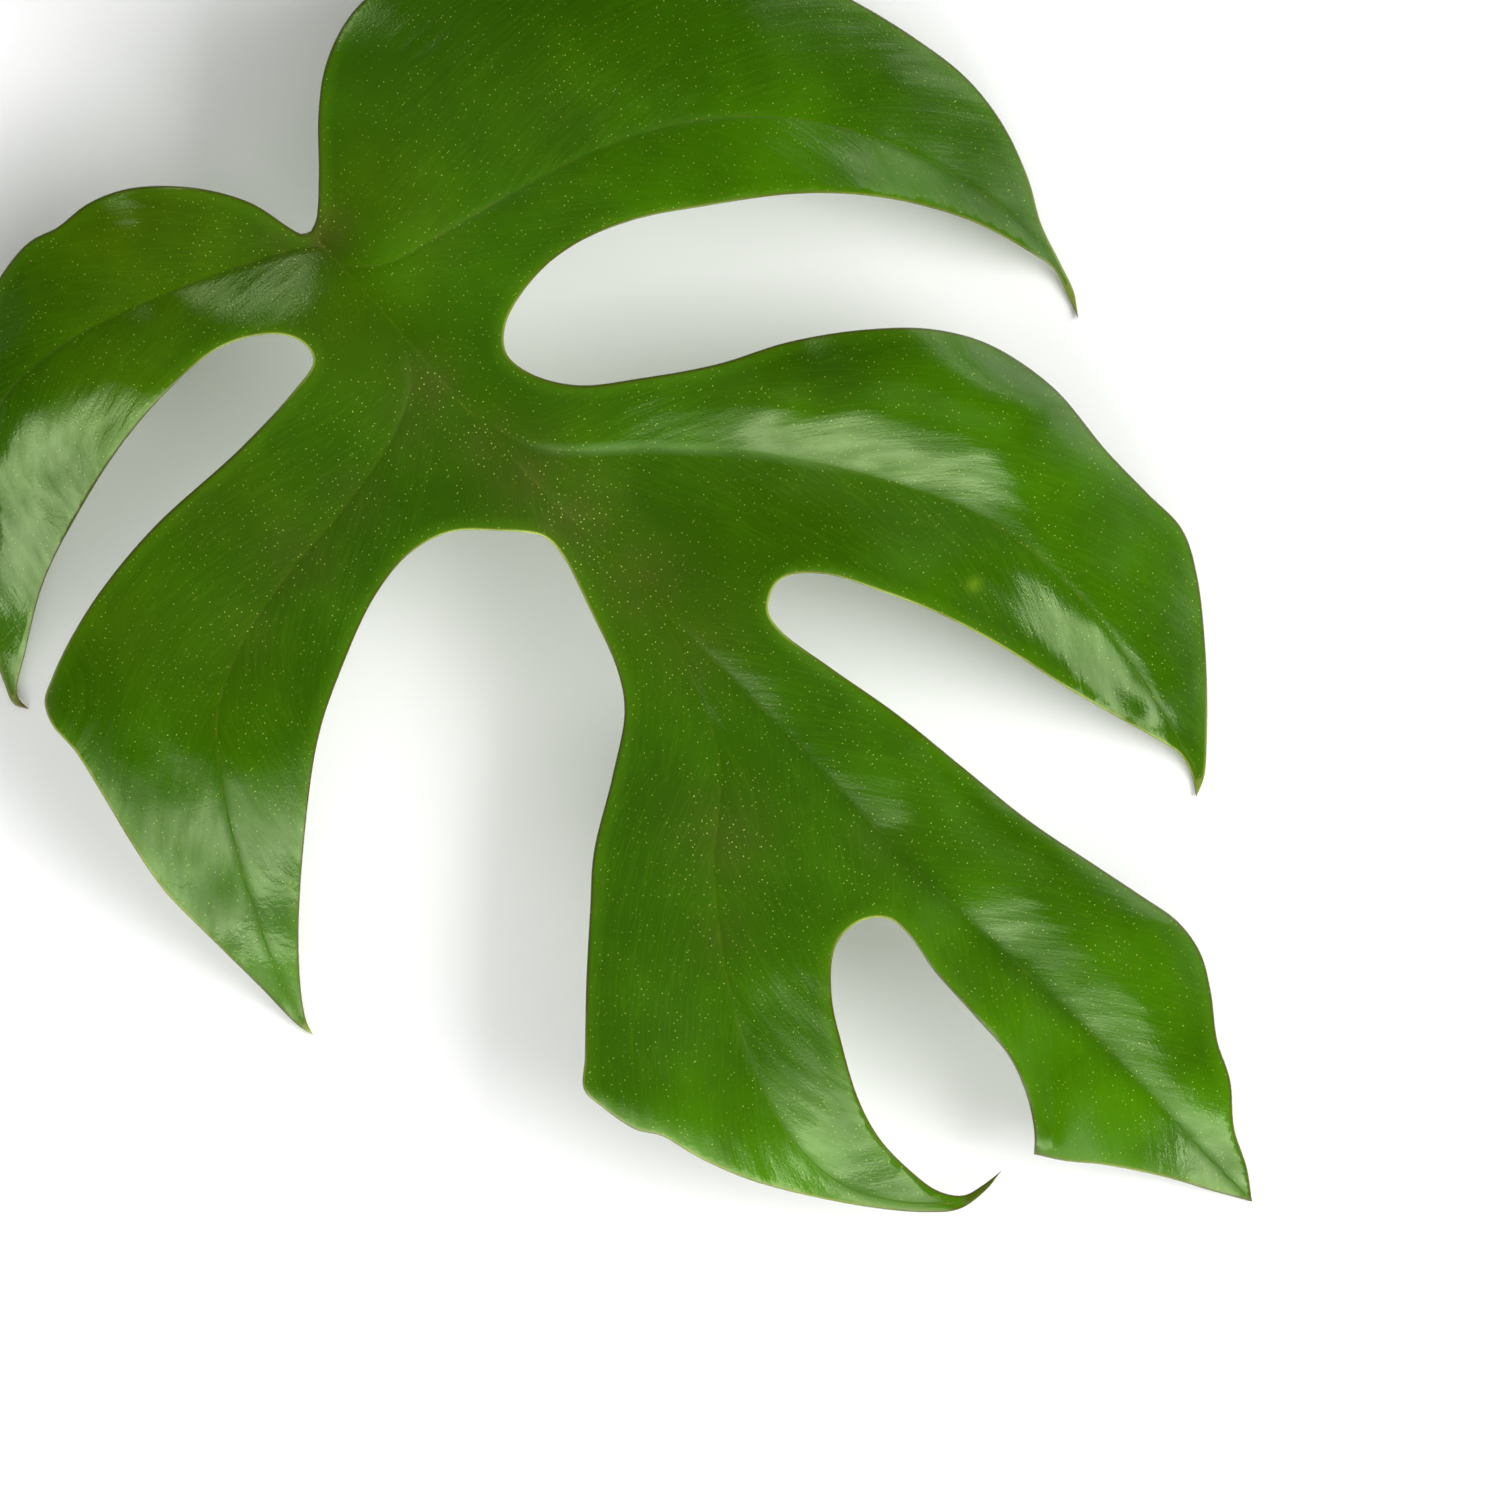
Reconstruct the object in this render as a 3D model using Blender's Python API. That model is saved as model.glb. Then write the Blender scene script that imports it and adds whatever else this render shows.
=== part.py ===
"""A picked split leaf, Rhaphidophora tetrasperma, lying face up on its drip tips and its cut stalk.

The blade is laid out in plan, in millimetres, with the base notch at x = 0 and the midrib running along +x
to the terminal tip. Its margin and its main veins are smooth curves through a few points. One height formula
then arches it: a smooth sheet through chosen heights, creased downwards along every main vein. The sheet may
part along one gap, because the lobe beside it hangs lower than its neighbour. The lower face follows the
upper one at the blade's thickness, and swells into a rib under each vein. The part's frame has its origin
under the middle of the leaf, on the surface that it lies on, with +X along the midrib and +Z up.
"""

import bpy
import numpy as np
from mathutils.geometry import delaunay_2d_cdt

MM = 0.001

# Driving dimensions, in millimetres
BLADE_THICKNESS = 0.64
PLAN_MIDDLE = (69.35, 0.85)
MARGIN_STEP = 1.7
VEIN_STEP = 2.8
LATTICE_STEP = 2.75
LATTICE_GAP = 0.62 * LATTICE_STEP
ROW_SHARE = 0.866  # of the lattice's step, between the rows of its even triangles
LEAST_GAP = 0.75
RIB_ROW_GAP = 0.9

CREASE_REACH = 3.2
CREASE_ROUNDING = 0.6
MIDRIB_CREASE = 1.3
SIDE_VEIN_CREASES = (0.45, 1.1, 1.0, 0.45, 0.7)

MIDRIB_RIB = (1.9, 2.3)  # depth below the lower face, and half width, at the base
SIDE_VEIN_RIB = (0.9, 1.1)
RIB_AT_TIP = 0.25  # share of the rib and of the crease that is left at a vein's tip
RIB_FLANK = (1.3, 0.825)  # how far out a rib's flank rows lie at its base and at its tip, in half widths
SLOPE_REACH = 0.4
STEEPEST = 2.0

STALK_RADIUS = 1.6
JOINT_RADIUS = 2.15
SEAT_GAP = 0.3
TOUCH = 2.2  # height over which a drip tip levels out as it comes down to the surface

# The margin, from each sharp corner to the next, going round with the base notch first.
NOTCH = (-0.5, 0.2)
UPPER_1_TIP = (71.2, 59.0)
UPPER_2_TIP = (122.3, 29.0)
TERMINAL_TIP = (161.9, -0.2)
TERMINAL_CORNER = (139.3, -15.0)
LOWER_3_TIP = (138.1, -19.1)
LOWER_2_TIP = (68.7, -67.1)
LOWER_1_TIP = (16.7, -64.2)

MARGINS = [
    [
        NOTCH, (-1.0, 1.6), (-4.5, 5.5), (-9.7, 10.5), (-13.2, 15.0), (-15.3, 20.0), (-15.8, 24.5),
        (-14.5, 31.5), (-11.0, 39.5), (-5.0, 47.5), (3.0, 54.8), (12.0, 60.6), (20.0, 64.4), (25.3, 66.3),
        (33.0, 68.3), (41.0, 69.5), (48.0, 68.8), (55.0, 66.4), (60.0, 63.7), (65.0, 62.1), (68.5, 60.9),
        UPPER_1_TIP,
    ],
    [
        UPPER_1_TIP, (68.0, 60.1), (65.0, 61.0), (61.0, 60.2), (55.0, 58.3), (49.0, 55.2), (43.0, 50.9),
        (37.0, 45.0), (30.5, 36.2), (25.5, 28.5), (22.8, 21.5), (22.3, 15.5), (23.8, 9.3), (26.4, 6.8),
        (30.0, 7.1), (35.0, 10.1), (40.0, 16.5), (45.0, 24.0), (49.0, 31.9), (54.5, 39.7), (60.0, 45.4),
        (66.0, 49.0), (75.0, 50.9), (85.0, 50.2), (92.0, 50.2), (98.0, 50.2), (103.0, 47.8), (111.0, 41.6),
        (118.0, 35.0), (121.3, 31.3), UPPER_2_TIP,
    ],
    [
        UPPER_2_TIP, (119.8, 30.5), (117.3, 31.1), (113.0, 30.1), (109.0, 28.9), (102.0, 26.9), (94.0, 25.0),
        (86.0, 22.5), (78.0, 18.9), (72.0, 15.6), (69.0, 12.2), (68.8, 10.2), (70.4, 7.7), (73.0, 7.1),
        (80.0, 8.2), (90.0, 10.1), (100.0, 11.3), (110.0, 12.5), (120.0, 14.6), (126.0, 15.9), (131.5, 16.9),
        (136.0, 16.2), (140.0, 14.0), (145.0, 10.3), (149.5, 8.1), (154.0, 4.4), (158.5, 2.2), TERMINAL_TIP,
    ],
    [TERMINAL_TIP, (158.0, -2.5), (152.0, -5.9), (146.0, -10.0), (142.5, -12.9), TERMINAL_CORNER],
    [
        TERMINAL_CORNER, (137.5, -13.2), (134.0, -10.9), (129.0, -9.0), (122.0, -8.5), (115.0, -8.2),
        (110.0, -7.4), (106.8, -7.8), (104.7, -10.4), (104.7, -14.4), (108.5, -18.9), (114.0, -22.4),
        (120.0, -25.5), (125.0, -26.9), (130.0, -27.0), (134.5, -26.3), (137.0, -24.5), (137.75, -22.0),
        LOWER_3_TIP,
    ],
    [
        LOWER_3_TIP, (138.5, -22.0), (137.9, -26.0), (135.3, -29.2), (130.0, -33.7), (123.0, -38.5),
        (117.0, -41.9), (111.0, -44.2), (106.5, -45.4), (103.8, -47.1), (99.0, -48.1), (96.0, -48.2),
        (93.3, -45.4), (87.0, -39.0), (81.0, -32.5), (76.5, -27.5), (71.5, -19.5), (67.0, -13.1),
        (63.0, -10.3), (55.0, -7.4), (48.5, -5.4), (45.3, -5.4), (41.0, -8.8), (37.0, -13.2), (35.5, -18.5),
        (36.3, -25.0), (40.0, -34.5), (43.5, -41.3), (50.0, -49.9), (60.0, -61.0), (66.5, -66.3),
        LOWER_2_TIP,
    ],
    [
        LOWER_2_TIP, (66.5, -67.6), (60.0, -67.6), (52.0, -67.7), (44.0, -67.7), (38.0, -66.7), (30.0, -64.8),
        (24.5, -63.6), (20.0, -63.3), (17.5, -62.0), (16.1, -59.3), (14.5, -55.0), (12.8, -48.0),
        (11.8, -38.0), (12.3, -24.0), (11.9, -15.0), (11.0, -10.5), (9.0, -9.8), (6.3, -10.8), (3.5, -14.0),
        (1.7, -18.5), (1.3, -26.0), (2.0, -34.0), (3.9, -42.5), (7.0, -52.0), (11.4, -59.5), (14.5, -64.0),
        LOWER_1_TIP,
    ],
    [
        LOWER_1_TIP, (15.0, -65.1), (11.8, -63.9), (5.0, -60.8), (-2.0, -57.2), (-9.0, -52.7), (-15.0, -46.8),
        (-19.5, -39.5), (-22.0, -33.0), (-23.2, -27.0), (-23.1, -24.3), (-22.1, -21.3), (-21.5, -16.5),
        (-19.3, -11.7), (-14.0, -6.2), (-8.0, -2.6), (-2.5, -1.3), (-1.0, -0.8), NOTCH,
    ],
]

# The main veins, each from the midrib to its lobe's tip.
MIDRIB = [
    (0.8, 0.1), (15.0, -0.5), (30.0, -1.4), (60.0, -1.2), (85.0, -1.0), (105.0, -1.3), (120.0, -0.6),
    (135.0, 0.1), (160.5, -0.3),
]
SIDE_VEINS = [
    [
        (5.0, 0.0), (8.5, 3.5), (10.5, 10.0), (13.0, 20.0), (16.0, 30.0), (20.0, 39.0), (25.0, 46.0),
        (32.0, 52.5), (42.0, 58.0), (52.0, 61.0), (60.0, 62.1), (67.0, 61.0),
    ],
    [
        (28.0, -1.3), (37.0, 1.6), (47.0, 11.8), (56.0, 20.0), (64.0, 25.6), (72.0, 30.2), (80.0, 33.8),
        (90.0, 35.6), (100.0, 35.4), (108.0, 34.0), (114.0, 32.9), (120.5, 31.1),
    ],
    [
        (1.5, 0.1), (-1.0, -4.0), (-4.0, -10.0), (-8.0, -19.4), (-11.5, -30.0), (-12.0, -40.0),
        (-8.0, -49.0), (0.0, -56.0), (8.0, -61.2), (14.0, -64.3),
    ],
    [
        (16.0, -0.6), (21.0, -4.0), (24.0, -10.0), (26.0, -20.0), (27.0, -30.0), (29.0, -40.0),
        (33.0, -48.0), (42.0, -55.5), (50.0, -60.0), (58.0, -64.0), (66.5, -66.9),
    ],
    [
        (57.0, -1.3), (66.0, -3.0), (79.0, -9.0), (87.4, -18.0), (96.0, -25.0), (104.5, -30.0),
        (115.0, -34.0), (121.0, -34.8), (127.0, -33.7), (133.0, -30.0), (137.3, -25.5),
    ],
]

# Heights of the smooth sheet that the blade follows, as (x, y, height): along each main vein, along the raised
# and the drooping margins, and over the swell of each panel between them.
HEIGHTS = {
    "midrib": [
        (0, 0, 31), (20, 0, 34.5), (40, 0, 36), (60, 0, 36), (80, 0, 34.5), (100, 0, 31), (120, 0, 25),
        (135, 0, 18.5), (148, 0, 11), (161.9, -0.2, 0.7),
    ],
    "terminal lobe": [
        (73, 7.1, 36.5), (95, 10.8, 32.6), (115, 13.8, 25), (131, 16.9, 16.8), (140, 14, 13.8),
        (149.5, 8, 10.2), (156, 3.3, 6.2), (105, 6, 31), (122, 7, 25.2), (137, 7.5, 18), (110, -7.4, 30),
        (122, -8.5, 26), (131, -9.8, 22.2), (139.3, -15, 17.6), (146, -10, 12.2), (155, -4, 4.4),
        (128, -5.5, 22.6), (141, -7, 16.2),
    ],
    "first upper lobe": [
        (13, 20, 35.2), (20, 39, 31.5), (32, 52.5, 24.6), (42, 58, 18.8), (52, 61, 12.6), (61, 62, 7),
        (71.2, 59, 1.05), (-13.2, 15, 33), (-14.5, 31.5, 29.5), (-5, 47.5, 25), (12, 60.6, 20),
        (28, 67, 14.5), (48, 68.8, 8), (58, 64.8, 5.6), (0, 18, 35), (2, 38, 32), (18, 54, 25.4),
        (36, 63, 17), (22.3, 15.5, 36.4), (25.5, 28.5, 35.6), (33, 40, 32.6), (43, 50.9, 25.6),
        (55, 58.3, 14),
    ],
    "second upper lobe": [
        (47, 11.8, 33.5), (56, 20, 32.2), (64, 25.6, 30.4), (72, 30.2, 28.8), (80, 33.8, 26.2),
        (90, 35.6, 21.8), (100, 35.4, 15.8), (110, 33.5, 9.2), (122.3, 29, 0.7), (40, 16.5, 36),
        (49, 31.9, 32.5), (60, 45.4, 28.6), (75, 50.9, 22.8), (87, 50.2, 17.4), (98, 50.2, 10.6),
        (107, 44.8, 6.8), (116, 37, 3.6), (52, 26, 35.2), (60, 33, 34.4), (70, 40, 31.8), (84, 43, 23.6),
        (97, 42.5, 15), (69.5, 13, 34.4), (78, 18.9, 30), (86, 22.5, 24.6), (94, 25, 18.2),
        (102, 26.9, 12.2), (110, 29.2, 7), (117.3, 31.1, 3.4), (82, 28, 26.4), (90, 30, 21),
        (99, 31.2, 15),
    ],
    "third lower lobe": [
        (79, -9, 32.4), (87.4, -18, 30.6), (96, -25, 28.4), (104.5, -30, 25.8), (115, -34, 21.4),
        (124, -34.5, 16), (132, -30.6, 10.4), (137.6, -25, 7.2), (138.1, -19.1, 6.4), (104.5, -12, 30),
        (110, -20, 27), (120, -25.5, 21.6), (130, -27, 13), (55, -7.4, 34.5), (67, -13.1, 32),
        (76.5, -27.5, 30.4), (87, -39, 28.8), (96, -48, 27), (104, -47, 25.6), (117, -41.9, 20),
        (127, -36, 13), (80, -20, 31.2), (93, -34, 28.6), (105, -39, 25.8), (101, -20, 29),
    ],
    "second lower lobe": [
        (24, -10, 33.4), (26, -20, 32.6), (27, -30, 31.6), (29, -40, 30), (33, -48, 28),
        (42, -55.5, 23.4), (50, -60, 17.2), (59, -64.3, 9), (68.7, -67.1, 0.7), (11, -10.5, 34.2),
        (12.2, -24, 32.2), (12, -40, 29.4), (14.5, -55, 25.6), (20, -63.3, 23), (38, -66.7, 19.2),
        (54, -67.7, 10), (41, -8.8, 36), (35.5, -18.5, 34), (40, -34.5, 31.2), (50, -49.9, 24.2),
        (60, -61, 10.4), (19, -36, 31.2), (24, -54, 27.2), (33, -32, 32), (30, -64.8, 22),
    ],
    "first lower lobe": [
        (-4, -10, 30.2), (-8, -19.4, 29.4), (-11.5, -30, 26.8), (-12, -40, 22.4), (-8, -49, 16.4),
        (0, -56, 10), (8, -61.2, 4.6), (14.4, -64.4, 1.6), (16.7, -64.2, 1.1), (-8, -2.6, 30),
        (-19.3, -11.7, 27), (-23.2, -26, 23), (-19.5, -39.5, 17.6), (-9, -52.7, 11.6), (5, -60.8, 4.8),
        (6.3, -10.8, 33.6), (1.5, -20, 31.6), (2, -34, 24.6), (4.5, -45, 16.6), (10, -57.2, 7.2),
        (-14, -16, 29), (-4, -28, 28.8), (-3, -42, 20.2),
    ],
}

# Down the middle of the gap beside the first lower lobe, which hangs lower there than its neighbour
FREE_GAP = [
    (8.8, -10.5), (6.7, -18.0), (6.7, -30.0), (7.9, -42.0), (10.0, -51.0), (13.2, -58.0), (15.4, -62.0),
    (17.3, -63.3), (21.0, -66.5),
]
GAP_HALF_WIDTH = 1.2
GAP_FADE = 25.0  # how far below the gap's closed end the two sides become free of each other
GAP_APART = 25.0

# Where the joint meets the blade, in plan, and the stalk's centre line below it as (x, y, height)
STALK_SEAT = (2.6, -0.2)
STALK_PATH = [
    (2.8, -0.3, 21.0), (5.2, -0.6, 12.5), (11.5, -1.0, 5.4), (21.0, -1.2, 2.2), (34.0, -1.3, STALK_RADIUS),
]
STALK_STEP = 2.0
JOINT_SHARE = 0.16  # how far down the stalk the joint's swelling reaches

UPPER_GREEN = (0.045, 0.13, 0.004)
STALK_GREEN = (0.16, 0.24, 0.05)
CUTICLE_ROUGHNESS = 0.3
STALK_ROUGHNESS = 0.45


def clear_scene():
    for thing in list(bpy.data.objects):
        bpy.data.objects.remove(thing)


def material(name, colour, roughness):
    made = bpy.data.materials.new(name)
    made.use_nodes = True
    shader = made.node_tree.nodes["Principled BSDF"]
    shader.inputs["Base Color"].default_value = (*colour, 1.0)
    shader.inputs["Roughness"].default_value = roughness
    shader.inputs["Metallic"].default_value = 0.0
    return made


def smooth_curve(points, step):
    """Points every step or so along the centripetal curve that runs through all the given ones."""
    given = np.array(points, float)
    padded = np.vstack([2 * given[0] - given[1], given, 2 * given[-1] - given[-2]])
    spans = [given[:1]]
    for first, start, end, last in zip(padded, padded[1:], padded[2:], padded[3:]):
        t1 = np.linalg.norm(start - first) ** 0.5
        t2 = t1 + np.linalg.norm(end - start) ** 0.5
        t3 = t2 + np.linalg.norm(last - end) ** 0.5
        t = np.linspace(t1, t2, 13)[1:, None]
        a1 = (t1 - t) / t1 * first + t / t1 * start
        a2 = (t2 - t) / (t2 - t1) * start + (t - t1) / (t2 - t1) * end
        a3 = (t3 - t) / (t3 - t2) * end + (t - t2) / (t3 - t2) * last
        b1 = (t2 - t) / t2 * a1 + t / t2 * a2
        b2 = (t3 - t) / (t3 - t1) * a2 + (t - t1) / (t3 - t1) * a3
        spans.append((t2 - t) / (t2 - t1) * b1 + (t - t1) / (t2 - t1) * b2)
    dense = np.vstack(spans)
    along = np.concatenate([[0], np.cumsum(np.linalg.norm(np.diff(dense, axis=0), axis=1))])
    wanted = np.linspace(0, along[-1], max(2, round(along[-1] / step) + 1))
    return np.column_stack([np.interp(wanted, along, column) for column in dense.T])


def margin_loop(step):
    """The whole margin as one closed loop: each stretch ends where the next one starts."""
    return np.vstack([smooth_curve(stretch, step)[:-1] for stretch in MARGINS])


class Sheet:
    """The smooth surface of least bending through the chosen heights, which may part along the free gap."""

    UNIT = 100.0

    def __init__(self, controls):
        chosen = np.array(controls, float)
        self.places = self.spread(chosen[:, :2])
        count = len(chosen)
        plane = np.column_stack([np.ones(count), self.places[:, :2]])
        system = np.zeros((count + 3, count + 3))
        system[:count, :count] = self.bending(self.places)
        system[:count, count:] = plane
        system[count:, :count] = plane.T
        self.weights = np.linalg.solve(system, np.concatenate([chosen[:, 2], np.zeros(3)]))

    def spread(self, plan):
        """The places with a third number, which sets the lobe on the free gap's left apart from the rest."""
        gap = np.array(FREE_GAP)
        away = plan[:, 0] - np.interp(-plan[:, 1], -gap[:, 1], gap[:, 0])
        freed = np.clip((gap[0, 1] - plan[:, 1]) / GAP_FADE, 0, 1)
        aside = freed**2 * (3 - 2 * freed) * (1 - np.tanh(away / GAP_HALF_WIDTH)) / 2
        return np.column_stack([plan, GAP_APART * aside]) / self.UNIT

    def bending(self, places):
        apart = ((places[:, None, :] - self.places[None, :, :]) ** 2).sum(axis=2)
        return 0.5 * apart * np.log(apart + 1e-12)

    def height(self, plan):
        places = self.spread(plan)
        plane = np.column_stack([np.ones(len(places)), places[:, :2]])
        return self.bending(places) @ self.weights[:-3] + plane @ self.weights[-3:]


class Vein:
    """A main vein: how far a place is from it, and how much of its strength is left there."""

    def __init__(self, points, crease, rib):
        self.line = smooth_curve(points, 1.0)
        self.crease = crease
        self.rib_depth, self.rib_width = rib

    def near(self, plan):
        apart = np.linalg.norm(plan[:, None, :] - self.line[None, :, :], axis=2)
        nearest = apart.argmin(axis=1)
        share = nearest / (len(self.line) - 1)
        return apart[np.arange(len(plan)), nearest], 1 - (1 - RIB_AT_TIP) * share

    def creased(self, plan):
        distance, strength = self.near(plan)
        rounded = np.hypot(distance, CREASE_ROUNDING) - CREASE_ROUNDING
        return self.crease * strength * np.exp(-rounded / CREASE_REACH)

    def ribbed(self, plan):
        distance, strength = self.near(plan)
        return self.rib_depth * strength * np.exp(-((distance / (self.rib_width * strength)) ** 2))


def blended_most(fields):
    """The largest of several fields, with soft valleys where two are alike."""
    return (np.array(fields) ** 3).sum(axis=0) ** (1 / 3)


class Lamina:
    """The blade's two faces as heights over the plan."""

    def __init__(self):
        self.sheet = Sheet([place for group in HEIGHTS.values() for place in group])
        self.veins = [Vein(MIDRIB, MIDRIB_CREASE, MIDRIB_RIB)]
        self.veins += [Vein(*side, SIDE_VEIN_RIB) for side in zip(SIDE_VEINS, SIDE_VEIN_CREASES)]

    def upper(self, plan):
        free = self.sheet.height(plan) - blended_most([vein.creased(plan) for vein in self.veins])
        return 0.5 * (free + np.hypot(free, TOUCH))

    def lower(self, plan):
        """The lower face keeps the blade's thickness square to the slope, and swells under each vein."""
        level = self.upper(plan)
        slope_x = (self.upper(plan + [SLOPE_REACH, 0.0]) - level) / SLOPE_REACH
        slope_y = (self.upper(plan + [0.0, SLOPE_REACH]) - level) / SLOPE_REACH
        steepness = np.minimum(np.sqrt(1 + slope_x**2 + slope_y**2), STEEPEST)
        return level - BLADE_THICKNESS * steepness - blended_most([vein.ribbed(plan) for vein in self.veins])


def inside(plan, loop):
    """Which places lie inside the loop, by counting the margin's crossings of a line towards +x."""
    crossings = np.zeros(len(plan), int)
    for (x0, y0), (x1, y1) in zip(loop, np.roll(loop, -1, axis=0)):
        if y0 == y1:
            continue
        spans = (plan[:, 1] >= min(y0, y1)) & (plan[:, 1] < max(y0, y1))
        crossings += spans & (plan[:, 0] < x0 + (plan[:, 1] - y0) * (x1 - x0) / (y1 - y0))
    return crossings % 2 == 1


def clear_of(candidates, taken, gap):
    if not len(taken):
        return candidates
    apart = np.linalg.norm(candidates[:, None, :] - taken[None, :, :], axis=2)
    return candidates[apart.min(axis=1) > gap]


def rib_rows(points, half_width):
    """A vein's centre line and one row down each flank of its rib."""
    line = smooth_curve(points, VEIN_STEP)
    forward = np.gradient(line, axis=0)
    forward /= np.linalg.norm(forward, axis=1)[:, None]
    sideways = np.column_stack([-forward[:, 1], forward[:, 0]])
    width = half_width * np.linspace(*RIB_FLANK, len(line))[:, None]
    return line, np.vstack([line + width * sideways, line - width * sideways])


def plan_mesh():
    """Places over the blade and the triangles between them, with an edge along every main vein."""
    loop = margin_loop(MARGIN_STEP)
    places = [tuple(place) for place in loop]
    edges = []
    veins = [(MIDRIB, MIDRIB_RIB[1])] + [(points, SIDE_VEIN_RIB[1]) for points in SIDE_VEINS]
    flanks = []
    for points, half_width in veins:
        line, rows = rib_rows(points, half_width)
        flanks.append(rows)
        kept = clear_of(line, np.array(places), LEAST_GAP)
        edges += [(len(places) + i, len(places) + i + 1) for i in range(len(kept) - 1)]
        places += [tuple(place) for place in kept]
    for row in flanks:
        for place in clear_of(row[inside(row, loop)], np.array(places), RIB_ROW_GAP):
            if len(clear_of(place[None], np.array(places), LEAST_GAP)):
                places.append(tuple(place))
    low, high = loop.min(axis=0), loop.max(axis=0)
    lattice = np.array([
        (x + (row % 2) * LATTICE_STEP / 2, y)
        for row, y in enumerate(np.arange(low[1], high[1], LATTICE_STEP * ROW_SHARE))
        for x in np.arange(low[0], high[0], LATTICE_STEP)
    ])
    lattice = clear_of(lattice[inside(lattice, loop)], np.array(places), LATTICE_GAP)
    places += [tuple(place) for place in lattice]
    found = delaunay_2d_cdt(places, edges, [list(range(len(loop)))], 1, 1e-3)
    return np.array([tuple(place) for place in found[0]]), [tuple(face) for face in found[2]]


def blade():
    plan, faces = plan_mesh()
    lamina = Lamina()
    count = len(plan)
    moved = plan - PLAN_MIDDLE
    upper, lower = lamina.upper(plan), lamina.lower(plan)
    ground = lower.min()
    upper_face = np.column_stack([moved, upper - ground])
    lower_face = np.column_stack([moved, lower - ground])
    directed = {(a, b) for face in faces for a, b in zip(face, face[1:] + face[:1])}
    rim = [(b, a, a + count, b + count) for a, b in sorted(directed) if (b, a) not in directed]
    below = [tuple(i + count for i in reversed(face)) for face in faces]
    mesh = bpy.data.meshes.new("blade")
    mesh.from_pydata(np.vstack([upper_face, lower_face]) * MM, [], faces + below + rim)
    mesh.shade_smooth()
    made = bpy.data.objects.new("blade", mesh)
    bpy.context.scene.collection.objects.link(made)
    mesh.materials.append(material("leaf blade", UPPER_GREEN, CUTICLE_ROUGHNESS))
    return lamina, ground


def petiole(lamina, ground):
    """The stalk: a tapering round rod, swollen into the joint that it meets the blade with."""
    offsets = (-JOINT_RADIUS, 0.0, JOINT_RADIUS)
    seat = np.array([(STALK_SEAT[0] + dx, STALK_SEAT[1] + dy) for dx in offsets for dy in offsets])
    top = (lamina.lower(seat) - ground).min() - SEAT_GAP
    route = smooth_curve([(*STALK_SEAT, top)] + STALK_PATH, STALK_STEP)
    along = np.linspace(0, 1, len(route))
    swelling = np.exp(-((along / JOINT_SHARE) ** 2))
    curve = bpy.data.curves.new("petiole", "CURVE")
    curve.dimensions = "3D"
    curve.bevel_depth = 1.0 * MM
    curve.bevel_resolution = 3
    curve.use_fill_caps = True
    line = curve.splines.new("POLY")
    line.points.add(len(route) - 1)
    for point, place, share in zip(line.points, route, swelling):
        point.co = (*((place[:2] - PLAN_MIDDLE) * MM), place[2] * MM, 1.0)
        point.radius = STALK_RADIUS + (JOINT_RADIUS - STALK_RADIUS) * share
    made = bpy.data.objects.new("petiole", curve)
    bpy.context.scene.collection.objects.link(made)
    curve.materials.append(material("leaf stalk", STALK_GREEN, STALK_ROUGHNESS))


def main():
    clear_scene()
    lamina, ground = blade()
    petiole(lamina, ground)


main()
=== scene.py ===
"""A picked split leaf on a white table, seen from straight above in soft side light.

The blade repeats the part's own margin, veins and height formula, in millimetres with the base notch at x = 0
and the midrib along +x, on a finer mesh with a rounded margin, grooved veins and small swells. Its material
follows the veins through numbers that the mesh carries. The stalk under it is drawn out of a ring.
"""

import math

import bpy
import numpy as np
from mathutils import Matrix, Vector, kdtree, noise
from mathutils.geometry import delaunay_2d_cdt


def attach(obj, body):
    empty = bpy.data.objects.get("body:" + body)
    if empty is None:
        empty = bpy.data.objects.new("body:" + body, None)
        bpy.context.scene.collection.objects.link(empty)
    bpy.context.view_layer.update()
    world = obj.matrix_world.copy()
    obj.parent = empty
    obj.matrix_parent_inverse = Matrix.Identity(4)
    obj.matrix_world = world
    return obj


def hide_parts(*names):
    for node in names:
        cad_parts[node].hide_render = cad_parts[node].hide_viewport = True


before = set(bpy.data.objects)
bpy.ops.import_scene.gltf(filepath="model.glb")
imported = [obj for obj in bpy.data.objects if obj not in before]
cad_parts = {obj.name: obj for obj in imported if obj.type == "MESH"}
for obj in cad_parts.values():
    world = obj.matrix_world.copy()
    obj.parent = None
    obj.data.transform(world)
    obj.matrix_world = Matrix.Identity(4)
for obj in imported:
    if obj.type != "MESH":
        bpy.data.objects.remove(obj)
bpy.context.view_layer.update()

MM = 0.001

# The leaf's own sizes, in millimetres, as in the part's source
BLADE_THICKNESS = 0.64
PLAN_MIDDLE = (69.35, 0.85)
CREASE_REACH = 3.2
CREASE_ROUNDING = 0.6
MIDRIB_CREASE = 1.3
SIDE_VEIN_CREASES = (0.45, 1.1, 1.0, 0.45, 0.7)
MIDRIB_RIB = (1.9, 2.3)
SIDE_VEIN_RIB = (0.9, 1.1)
RIB_AT_TIP = 0.25
STALK_RADIUS = 1.6
JOINT_RADIUS = 2.15
SEAT_GAP = 0.3
TOUCH = 2.2
SLOPE_REACH = 0.4
STEEPEST = 2.0

# The margin, from each sharp corner to the next, going round with the base notch first.
NOTCH = (-0.5, 0.2)
UPPER_1_TIP = (71.2, 59.0)
UPPER_2_TIP = (122.3, 29.0)
TERMINAL_TIP = (161.9, -0.2)
TERMINAL_CORNER = (139.3, -15.0)
LOWER_3_TIP = (138.1, -19.1)
LOWER_2_TIP = (68.7, -67.1)
LOWER_1_TIP = (16.7, -64.2)

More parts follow.
